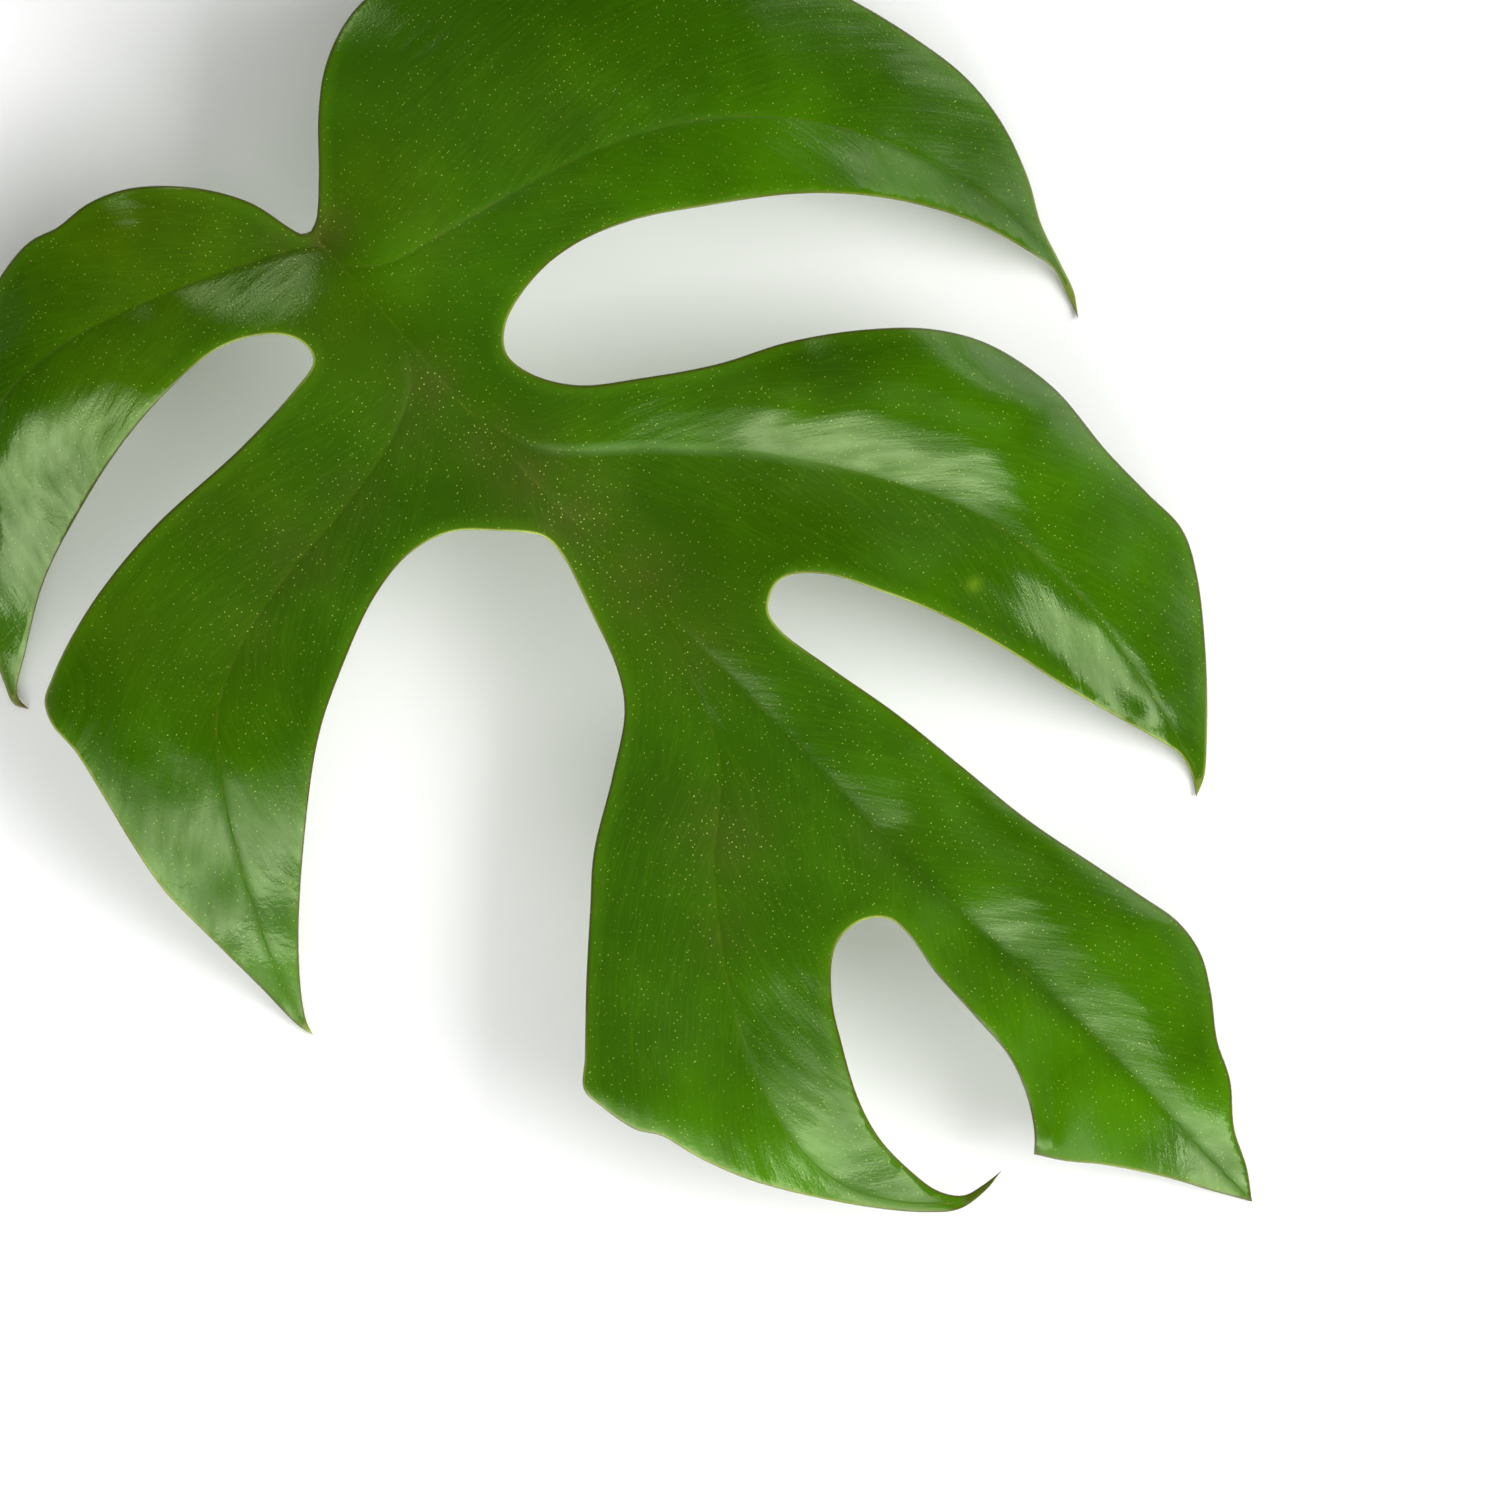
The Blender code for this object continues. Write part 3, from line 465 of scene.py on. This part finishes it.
class Lamina:
    """The blade's two faces as heights over the plan."""

    def __init__(self):
        self.sheet = Sheet([place for group in HEIGHTS.values() for place in group])
        self.veins = [Vein(MIDRIB, MIDRIB_CREASE, MIDRIB_RIB)]
        self.veins += [Vein(*side, SIDE_VEIN_RIB) for side in zip(SIDE_VEINS, SIDE_VEIN_CREASES)]

    def places(self, plan):
        """What the blade's form and finish need to know of each place, by name."""
        found = [vein.near(plan) for vein in self.veins]
        away = np.array([part[0] for part in found])
        along = np.array([part[1] for part in found])
        strength = np.array([part[2] for part in found])
        reach = np.abs(away)
        order = np.argsort(reach, axis=0)
        rows = np.arange(len(plan))
        first, second = order[0], order[1]
        near, next_near = reach[first, rows], reach[second, rows]
        divergence = np.where(first == 0, MIDRIB_SPLAY, SIDE_VEIN_SPLAY)
        ahead = along[first, rows] - divergence * near - SPLAY_BEND * near**2
        across = ahead / np.sqrt(1 + divergence**2)
        return {
            "away": away, "strength": strength, "vein": near,
            "strand": across + VEINS_APART * first + np.where(away[first, rows] > 0, 0.0, SIDES_APART),
            "onward": along[first, rows] + STRAND_LEAN * near,
            "calm": np.clip((next_near - near) / CALM_WIDTH, 0, 1),
        }

    def upper(self, plan, known=None):
        known = known or self.places(plan)
        creased = []
        grooved = []
        for vein, away, strength in zip(self.veins, known["away"], known["strength"]):
            rounded = np.hypot(away, CREASE_ROUNDING) - CREASE_ROUNDING
            creased.append(vein.crease * strength * np.exp(-rounded / CREASE_REACH))
            grooved.append(GROOVE_DEPTH * strength * np.exp(-((away / GROOVE_WIDTH) ** 2)))
        free = self.sheet.height(plan) - blended_most(creased) - np.max(grooved, axis=0)
        free = free + self.relief(plan, known)
        return 0.5 * (free + np.hypot(free, TOUCH))

    def relief(self, plan, known):
        """The low swells between the fine veins, and the crinkles of the drooping tips."""
        wander, broad, small = (
            np.array([noise.noise(Vector((x / grain, y / grain, layer))) for x, y in plan])
            for grain, layer in RELIEF_GRAINS
        )
        waves = np.cos(2 * math.pi * (known["strand"] / SWELL_SPACING + SWELL_WANDER * wander))
        clear = known["calm"] * np.clip(known["vein"] / SWELL_CLEAR, 0, 1)
        swell = SWELL_HEIGHT * (waves + SWELL_DENTS * broad) * clear
        folds = CRINKLE_HEIGHT * broad + FOLD_HEIGHT * (FOLD_WIDTH - np.abs(small))
        return swell + patches(plan, PATCHES["crinkle"]) * folds

    def lower(self, plan, known=None):
        """The lower face keeps the blade's thickness square to the slope, and swells under each vein."""
        known = known or self.places(plan)
        level = self.upper(plan, known)
        slope_x = (self.upper(plan + [SLOPE_REACH, 0.0]) - level) / SLOPE_REACH
        slope_y = (self.upper(plan + [0.0, SLOPE_REACH]) - level) / SLOPE_REACH
        steepness = np.minimum(np.sqrt(1 + slope_x**2 + slope_y**2), STEEPEST)
        ribbed = [
            vein.rib_depth * strength * np.exp(-((away / (vein.rib_width * strength)) ** 2))
            for vein, away, strength in zip(self.veins, known["away"], known["strength"])
        ]
        return level - BLADE_THICKNESS * steepness - blended_most(ribbed)


def inside(plan, loop):
    """Which places lie inside the loop, by counting the margin's crossings of a line towards +x."""
    crossings = np.zeros(len(plan), int)
    for (x0, y0), (x1, y1) in zip(loop, np.roll(loop, -1, axis=0)):
        if y0 == y1:
            continue
        spans = (plan[:, 1] >= min(y0, y1)) & (plan[:, 1] < max(y0, y1))
        crossings += spans & (plan[:, 0] < x0 + (plan[:, 1] - y0) * (x1 - x0) / (y1 - y0))
    return crossings % 2 == 1


def inset(loop, width):
    """How far each place of the margin can move inwards, up to width, and the direction that it moves in."""
    forward = np.roll(loop, -1, axis=0) - np.roll(loop, 1, axis=0)
    forward /= np.linalg.norm(forward, axis=1)[:, None]
    inward = np.column_stack([forward[:, 1], -forward[:, 0]])
    closed = Line(np.vstack([loop, loop[:1]]))
    room = np.full(len(loop), width)
    for _ in range(14):
        away, _ = closed.near(loop + room[:, None] * inward)
        room = np.where(np.abs(away) < 0.8 * room, 0.75 * room, room)
    for _ in range(3):
        room = np.minimum(room, (np.roll(room, 1) + np.roll(room, -1)) / 2 + 0.01)
    return room[:, None] * inward


def plan_mesh(loop, step, rows):
    """Places inside the loop and the triangles between them, with an edge along every main vein."""
    places = [tuple(place) for place in loop]
    edges = []
    for points in [MIDRIB] + SIDE_VEINS:
        line = smooth_curve(points, step)
        forward = np.gradient(line, axis=0)
        forward /= np.linalg.norm(forward, axis=1)[:, None]
        left = np.column_stack([-forward[:, 1], forward[:, 0]])
        for row in sorted({side * offset for offset in rows for side in (-1, 1)}, key=abs):
            taken = tree_of(places)
            moved = line + row * left
            gap = 0.3 * step if row == 0 else 0.2 * step
            free = np.array([taken.find((x, y, 0.0))[2] > gap for x, y in moved])
            kept = moved[inside(moved, loop) & free]
            if row == 0:
                edges += [(len(places) + i, len(places) + i + 1) for i in range(len(kept) - 1)]
            places += [tuple(place) for place in kept]
    low, high = loop.min(axis=0), loop.max(axis=0)
    lattice = np.array([
        (x + (row % 2) * step / 2, y)
        for row, y in enumerate(np.arange(low[1], high[1], step * 0.866))
        for x in np.arange(low[0], high[0], step)
    ])
    lattice = lattice[inside(lattice, loop)]
    taken = tree_of(places)
    places += [(x, y) for x, y in lattice if taken.find((x, y, 0.0))[2] > 0.6 * step]
    found = delaunay_2d_cdt(places, edges, [list(range(len(loop)))], 1, 1e-4)
    return np.array([tuple(place) for place in found[0]]), [tuple(face) for face in found[2]]


def fine_blade(lamina):
    """The blade on a fine mesh: two faces from the same margin, joined by a rounded rim."""
    margin = np.vstack([smooth_curve(stretch, MARGIN_STEP)[:-1] for stretch in MARGINS])
    inward = inset(margin, RIM_ROUNDING)
    edge_loop = margin + inward
    count = len(margin)
    upper_plan, upper_faces = plan_mesh(edge_loop, UPPER_STEP, UPPER_ROWS)
    lower_plan, lower_faces = plan_mesh(edge_loop, LOWER_STEP, LOWER_ROWS)
    upper_known = lamina.places(upper_plan)
    lower_known = lamina.places(lower_plan)
    upper = lamina.upper(upper_plan, upper_known)
    lower = lamina.lower(lower_plan, lower_known)
    rim_plans = [margin + share * inward for share, _, _ in RIM_ROWS]
    rim_levels = [upper[:count] + depth * (lower[:count] - upper[:count]) for _, depth, _ in RIM_ROWS]
    everywhere = np.vstack([upper_plan, *rim_plans, lower_plan])
    vertices = np.column_stack([everywhere, np.concatenate([upper, *rim_levels, lower])])
    ground = vertices[:, 2].min()
    vertices -= (*PLAN_MIDDLE, ground)

    starts = [0] + [len(upper_plan) + i * count for i in range(len(RIM_ROWS) + 1)]
    after = np.roll(np.arange(count), -1)
    rim = [
        (above + i, above + j, below + j, below + i)
        for above, below in zip(starts, starts[1:])
        for i, j in zip(range(count), after)
    ]
    below = [tuple(starts[-1] + i for i in reversed(face)) for face in lower_faces]
    mesh = bpy.data.meshes.new("leaf_blade")
    mesh.from_pydata(vertices * MM, [], upper_faces + below + rim)
    mesh.shade_smooth()

    known = [upper_known, *[lamina.places(plan) for plan in rim_plans], lower_known]
    carried = {name: np.concatenate([part[name] for part in known]) for name in CARRIED}
    carried["margin"] = np.abs(Line(np.vstack([margin, margin[:1]])).near(everywhere)[0])
    under = [np.zeros(len(upper_plan)), *[np.full(count, share) for _, _, share in RIM_ROWS]]
    carried["under"] = np.concatenate([*under, np.ones(len(lower_plan))])
    for name, places in PATCHES.items():
        carried[name] = patches(everywhere, places)
    for name, values in carried.items():
        mesh.attributes.new(name, "FLOAT", "POINT").data.foreach_set("value", values)
    made = bpy.data.objects.new("leaf_blade", mesh)
    bpy.context.scene.collection.objects.link(made)
    return made, ground


def linear(colour):
    """An sRGB hex colour as the linear numbers that a shader takes."""
    parts = [int(colour[i : i + 2], 16) / 255 for i in (1, 3, 5)]
    return (*[part / 12.92 if part <= 0.04045 else ((part + 0.055) / 1.055) ** 2.4 for part in parts], 1.0)


def node(tree, kind, inputs=None, **settings):
    """Adds a node with its settings. Its inputs are set, or linked to a socket or a node's first output."""
    made = tree.nodes.new(kind)
    for name, value in settings.items():
        setattr(made, name, value)
    for key, value in (inputs or {}).items():
        if isinstance(value, bpy.types.Node):
            value = value.outputs[0]
        if isinstance(value, bpy.types.NodeSocket):
            tree.links.new(value, made.inputs[key])
        else:
            made.inputs[key].default_value = value
    return made


def new_material(name):
    made = bpy.data.materials.new(name)
    made.use_nodes = True
    return made, made.node_tree, made.node_tree.nodes["Principled BSDF"]


def leaf_cuticle():
    """Waxy cuticle over green tissue: glossy deep green above, with fine sunk veins, and paler below."""
    made, tree, shader = new_material("waxy leaf cuticle")
    read = {
        name: node(tree, "ShaderNodeAttribute", attribute_name=name).outputs["Fac"]
        for name in (*CARRIED, "margin", "under", *PATCHES)
    }
    place = node(tree, "ShaderNodeTexCoord").outputs["Object"]

    # Tissue: soft mottling about 9 mm across, drawn out by the paler patches near the lit margins: partly
    # painted light where the blade faces the lamps, partly paler tissue at the tips
    mottle = node(tree, "ShaderNodeTexNoise", {"Vector": place, "Scale": 110.0, "Detail": 3.0})
    lit_and_paler = node(tree, "ShaderNodeMath", {0: mottle, 1: -0.5}, operation="ADD")
    lit_and_paler = node(tree, "ShaderNodeMath", {0: lit_and_paler, 1: 1.1, 2: read["lit_and_paler"]}, operation="MULTIPLY_ADD")
    lit_and_paler = node(tree, "ShaderNodeMapRange", {0: lit_and_paler, 1: -0.3, 2: 1.0}, interpolation_type="SMOOTHSTEP")
    tissue = {0: lit_and_paler, 6: linear("#294D01"), 7: linear("#3A6801")}
    tissue = node(tree, "ShaderNodeMix", tissue, data_type="RGBA").outputs[2]

    # Along the fine veins: strands a millimetre apart, finer fibres, and the clouds of the gloss
    strand_place = node(tree, "ShaderNodeCombineXYZ", {0: read["strand"], 1: read["onward"]})
    drawn = []
    for stretch, detail in (((1.15, 0.07, 1.0), 2.0), ((3.2, 0.35, 1.0), 2.0), ((0.5, 0.13, 1.0), 4.0)):
        spot = node(tree, "ShaderNodeVectorMath", {0: strand_place, 1: stretch}, operation="MULTIPLY")
        drawn.append(node(tree, "ShaderNodeTexNoise", {"Vector": spot, "Scale": 1.0, "Detail": detail}))
    strands, fibres, cloud = drawn
    thin = node(tree, "ShaderNodeMath", {0: strands, 1: -0.5}, operation="ADD")
    thin = node(tree, "ShaderNodeMath", {0: thin}, operation="ABSOLUTE")
    thin = node(tree, "ShaderNodeMapRange", {0: thin, 1: 0.0, 2: 0.035, 3: 1.0, 4: 0.0})
    thin = node(tree, "ShaderNodeMath", {0: thin, 1: read["calm"]}, operation="MULTIPLY")

    # Blotches 2 mm across, which break up the line along the main veins
    blotch = node(tree, "ShaderNodeTexNoise", {"Vector": place, "Scale": 420.0, "Detail": 4.0})
    broken = node(tree, "ShaderNodeMapRange", {0: blotch, 1: 0.4, 2: 0.65, 3: 0.0, 4: 0.22})

    # Specks: pale pores and dust, 0.1 to 0.2 mm, of uneven brightness, thickest along the midrib
    flat = node(tree, "ShaderNodeVectorMath", {0: place, 1: (1.0, 1.0, 0.0)}, operation="MULTIPLY")
    cells = node(tree, "ShaderNodeTexVoronoi", {"Vector": flat, "Scale": 1400.0}, voronoi_dimensions="2D")
    speck = {0: cells.outputs["Distance"], 1: 0.05, 2: 0.14, 3: 1.0, 4: 0.0}
    speck = node(tree, "ShaderNodeMapRange", speck)
    chosen = node(tree, "ShaderNodeSeparateColor", {0: cells.outputs["Color"]})
    crowd = node(tree, "ShaderNodeMath", {0: read["stain"], 1: 0.3, 2: 0.02}, operation="MULTIPLY_ADD")
    crowd = node(tree, "ShaderNodeMath", {0: mottle, 1: 0.3, 2: crowd}, operation="MULTIPLY_ADD")
    chosen = node(tree, "ShaderNodeMath", {0: chosen, 1: crowd}, operation="ADD")
    chosen = node(tree, "ShaderNodeMapRange", {0: chosen, 1: 0.58, 2: 1.32})
    chosen = node(tree, "ShaderNodeMath", {0: chosen, 1: 2.4}, operation="POWER")

    # Bands along the margin and the main veins: full up to one distance and gone at another, in millimetres
    band = {}
    for name, measure, near, far, most in (
        ("glow", "margin", 0.4, 2.0, 0.2), ("rim", "margin", 0.1, 0.45, 0.8),
        ("lit rim", "margin", 0.12, 0.4, 0.8), ("line", "vein", 0.05, 0.25, 1.0),
        ("paler", "vein", 0.1, 1.0, 0.4), ("darker", "vein", 0.2, 2.4, 0.55), ("rib", "vein", 0.6, 1.8, 0.8),
    ):
        limits = {0: read[measure], 1: near, 2: far, 3: most, 4: 0.0}
        band[name] = node(tree, "ShaderNodeMapRange", limits)

    # Colours laid over each other, each with the two numbers whose product is its share
    below = {0: mottle, 6: linear("#66804A"), 7: linear("#748F58")}
    below = node(tree, "ShaderNodeMix", below, data_type="RGBA").outputs[2]
    upper_layers = [
        (read["olive"], mottle, "#4E5F02"),  # older, yellower tissue
        (band["glow"], 1.0, "#5A8A10"),  # light through the thin edge
        (thin, 0.16, "#4A7408"),  # fine veins
        (read["stain"], blotch, "#4A4A1C"),  # brown flush along the midrib and at the forks
        (band["line"], broken, "#63661C"),  # the main veins' broken yellow-brown line
        (band["paler"], read["pale_vein"], "#6E9152"),  # paler, greyer veins at some forks
        (band["darker"], read["groove_shade"], "#1C3D02"),  # painted shade along the midrib's groove towards the tip
        (speck, chosen, "#B4C25A"),
        (band["rim"], 1.0, "#40370A"),  # thin red-brown line round the leaf
        (band["lit rim"], read["pale_and_lit_rim"], "#9FB548"),  # pale at the cuts' ends, and painted light along the edges that face the lamps
        (read["fleck"], blotch, "#93B52A"),
    ]
    under_layers = [(thin, 1.0, "#86A066"), (band["rib"], 1.0, "#A3B860")]
    faces = []
    for colour, layers in ((tissue, upper_layers), (below, under_layers)):
        for first, second, shade in layers:
            share = node(tree, "ShaderNodeMath", {0: first, 1: second}, operation="MULTIPLY")
            laid = {0: share, 6: colour, 7: linear(shade)}
            colour = node(tree, "ShaderNodeMix", laid, data_type="RGBA").outputs[2]
        faces.append(colour)
    side = node(tree, "ShaderNodeMapRange", {0: read["under"], 1: 0.75, 2: 0.95})
    colour = node(tree, "ShaderNodeMix", {0: side, 6: faces[0], 7: faces[1]}, data_type="RGBA").outputs[2]
    dried = {0: read["brown_tip"], 6: colour, 7: linear("#5C4A22")}
    colour = node(tree, "ShaderNodeMix", dried, data_type="RGBA").outputs[2]

    # Relief: strands and fibres along the fine veins, a grain of 0.3 mm, and creases 2 mm apart at the tips
    grain = node(tree, "ShaderNodeTexNoise", {"Vector": place, "Scale": 3200.0, "Detail": 2.0})
    creases = node(tree, "ShaderNodeTexNoise", {"Vector": place, "Scale": 420.0, "Detail": 3.0})
    creases = node(tree, "ShaderNodeMath", {0: creases, 1: -0.5}, operation="ADD")
    creases = node(tree, "ShaderNodeMath", {0: creases}, operation="ABSOLUTE")
    creases = node(tree, "ShaderNodeMath", {0: creases, 1: read["crinkle"]}, operation="MULTIPLY")
    height = node(tree, "ShaderNodeMath", {0: fibres, 1: 0.3, 2: strands}, operation="MULTIPLY_ADD")
    height = node(tree, "ShaderNodeMath", {0: height, 1: -0.65}, operation="ADD")
    height = node(tree, "ShaderNodeMath", {0: height, 1: read["calm"]}, operation="MULTIPLY")
    height = node(tree, "ShaderNodeMath", {0: grain, 1: 0.6, 2: height}, operation="MULTIPLY_ADD")
    height = node(tree, "ShaderNodeMath", {0: creases, 1: 4.0, 2: height}, operation="MULTIPLY_ADD")
    bump = node(tree, "ShaderNodeBump", {"Height": height, "Distance": 0.000032, "Strength": 1.0})
    rough = node(tree, "ShaderNodeMapRange", {0: fibres, 1: 0.3, 2: 0.7, 3: 0.14, 4: 0.2})
    rough = node(tree, "ShaderNodeMath", {0: side, 1: 0.2, 2: rough}, operation="MULTIPLY_ADD")

    # Gloss: uneven in cloudy streaks along the fine veins, low in the grooves and in the dull patches
    gloss = node(tree, "ShaderNodeMapRange", {0: cloud, 1: 0.3, 2: 0.7, 3: 0.28, 4: 0.66})
    matt = node(tree, "ShaderNodeMapRange", {0: read["vein"], 1: 0.1, 2: 1.0, 3: 0.3, 4: 1.0})
    clean = node(tree, "ShaderNodeMath", {0: read["dull"], 1: -0.85, 2: 1.0}, operation="MULTIPLY_ADD")
    for share in (matt, clean):
        gloss = node(tree, "ShaderNodeMath", {0: gloss, 1: share}, operation="MULTIPLY")
    tree.links.new(gloss.outputs[0], shader.inputs["Specular IOR Level"])
    tree.links.new(colour, shader.inputs["Base Color"])
    tree.links.new(rough.outputs[0], shader.inputs["Roughness"])
    tree.links.new(bump.outputs[0], shader.inputs["Normal"])
    shader.inputs["IOR"].default_value = 1.5
    shader.inputs["Specular Tint"].default_value = (0.8, 1.0, 0.52, 1.0)
    return made


def leaf_stalk():
    """Green stalk skin: satin, with fine ridges of paler and darker green along its length."""
    made, tree, shader = new_material("satin leaf stalk")
    place = node(tree, "ShaderNodeTexCoord").outputs["Object"]
    streaks = node(tree, "ShaderNodeVectorMath", {0: place, 1: (0.12, 1.0, 1.0)}, operation="MULTIPLY")
    streaks = node(tree, "ShaderNodeTexNoise", {"Vector": streaks, "Scale": 1800.0, "Detail": 2.0})
    greens = {0: streaks, 6: linear("#5C7A2A"), 7: linear("#86A045")}
    colour = node(tree, "ShaderNodeMix", greens, data_type="RGBA").outputs[2]
    bump = node(tree, "ShaderNodeBump", {"Height": streaks, "Distance": 0.00006, "Strength": 1.0}).outputs[0]
    tree.links.new(colour, shader.inputs["Base Color"])
    tree.links.new(bump, shader.inputs["Normal"])
    shader.inputs["Roughness"].default_value = 0.42
    shader.inputs["IOR"].default_value = 1.45
    return made


def fine_stalk(lamina, ground):
    """The stalk: a ring at the joint, extruded down its path to the cut end."""
    offsets = (-JOINT_RADIUS, 0.0, JOINT_RADIUS)
    seat = np.array([(STALK_SEAT[0] + dx, STALK_SEAT[1] + dy) for dx in offsets for dy in offsets])
    top = (lamina.lower(seat) - ground).min() - SEAT_GAP
    route = smooth_curve([(*STALK_SEAT, top)] + STALK_PATH, STALK_STEP)
    places = [Vector(((x - PLAN_MIDDLE[0]) * MM, (y - PLAN_MIDDLE[1]) * MM, z * MM)) for x, y, z in route]
    shares = np.linspace(0, 1, len(places))
    swollen = (JOINT_RADIUS - STALK_RADIUS) * np.exp(-((shares / JOINT_SHARE) ** 2))
    radii = [float(radius) * MM for radius in STALK_RADIUS + swollen]
    heading = (places[1] - places[0]).normalized()
    bpy.ops.object.select_all(action="DESELECT")
    bpy.ops.mesh.primitive_circle_add(
        vertices=STALK_SIDES, radius=radii[0], fill_type="TRIFAN", location=places[0],
        rotation=(-heading).to_track_quat("Z", "Y").to_euler(),
    )
    stalk = bpy.context.active_object
    stalk.name = "leaf_stalk"
    bpy.ops.object.mode_set(mode="EDIT")
    bpy.ops.mesh.select_all(action="SELECT")
    for i in range(1, len(places)):
        bpy.ops.mesh.extrude_region_move(TRANSFORM_OT_translate={"value": places[i] - places[i - 1]})
        onward = (places[min(i + 1, len(places) - 1)] - places[i - 1]).normalized()
        axis, angle = heading.rotation_difference(onward).to_axis_angle()
        if angle > 1e-5:
            matrix = axis.to_track_quat("Z", "Y").to_matrix()
            bpy.ops.transform.rotate(
                value=-angle, orient_axis="Z", orient_matrix=matrix, center_override=places[i],
            )
        size = radii[i] / radii[i - 1]
        bpy.ops.transform.resize(value=(size, size, size), center_override=places[i])
        heading = onward
    bpy.ops.mesh.select_all(action="SELECT")
    bpy.ops.mesh.normals_make_consistent(inside=False)
    bpy.ops.object.mode_set(mode="OBJECT")
    bpy.ops.object.transform_apply(location=True, rotation=True, scale=True)
    bpy.ops.object.shade_smooth_by_angle(angle=math.radians(40))
    return stalk


def softbox(name, toward, distance, size, power, mirrored):
    """A soft rectangular light that shines on the leaf and isn't seen by the camera."""
    data = bpy.data.lights.new(name, "AREA")
    data.shape = "RECTANGLE"
    data.size, data.size_y = size
    data.energy = power
    lamp = bpy.data.objects.new(name, data)
    bpy.context.scene.collection.objects.link(lamp)
    direction = Vector(toward).normalized()
    lamp.location = Vector(LIT_PLACE) + direction * distance
    lamp.rotation_euler = direction.to_track_quat("Z", "Y").to_euler()
    lamp.visible_camera = False
    lamp.visible_glossy = mirrored
    lamp.visible_diffuse = not mirrored


def studio():
    """A white table, soft lights for the leaf's form, and panels that its gloss mirrors."""
    bpy.ops.object.select_all(action="DESELECT")
    bpy.ops.mesh.primitive_plane_add(size=TABLE_SIZE, location=(0, 0, 0))
    floor = bpy.context.active_object
    floor.name = "table"
    made, tree, shader = new_material("white paper table")
    shader.inputs["Base Color"].default_value = (0.9, 0.9, 0.9, 1.0)
    shader.inputs["Roughness"].default_value = 0.9
    shader.inputs["Specular IOR Level"].default_value = 0.1
    floor.data.materials.append(made)
    for light in LIGHTS:
        softbox(*light)
    room()


def room():
    """A pale room with a dark ceiling: light comes in low all round, and little from straight above."""
    world = bpy.data.worlds.new("room")
    bpy.context.scene.world = world
    world.use_nodes = True
    tree = world.node_tree
    direction = node(tree, "ShaderNodeTexCoord").outputs["Generated"]
    height = node(tree, "ShaderNodeSeparateXYZ", {0: direction}).outputs["Z"]
    limits = {0: height, 1: WALL_TOP[0], 2: WALL_TOP[1], 3: WALL_LIGHT, 4: CEILING_LIGHT}
    walls = node(tree, "ShaderNodeMapRange", limits)
    tree.links.new(walls.outputs[0], tree.nodes["Background"].inputs["Color"])


def camera():
    data = bpy.data.cameras.new("camera")
    data.sensor_width = SENSOR
    data.lens = LENS
    data.clip_end = 50.0
    made = bpy.data.objects.new("camera", data)
    bpy.context.scene.collection.objects.link(made)
    distance = LENS / SENSOR * VIEW_WIDTH
    made.location = (VIEW_PLACE[0] * MM, VIEW_PLACE[1] * MM, (VIEW_HEIGHT + distance) * MM)
    made.rotation_euler = (0.0, 0.0, math.radians(VIEW_TURN))
    bpy.context.scene.camera = made


def dress():
    lamina = Lamina()
    blade, ground = fine_blade(lamina)
    blade.data.materials.append(leaf_cuticle())
    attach(blade, "root")
    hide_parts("blade")
    stalk = fine_stalk(lamina, ground)
    stalk.data.materials.clear()
    stalk.data.materials.append(leaf_stalk())
    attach(stalk, "root")
    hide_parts("petiole")


bpy.context.scene.view_settings.view_transform = "Standard"
camera()
dress()
studio()
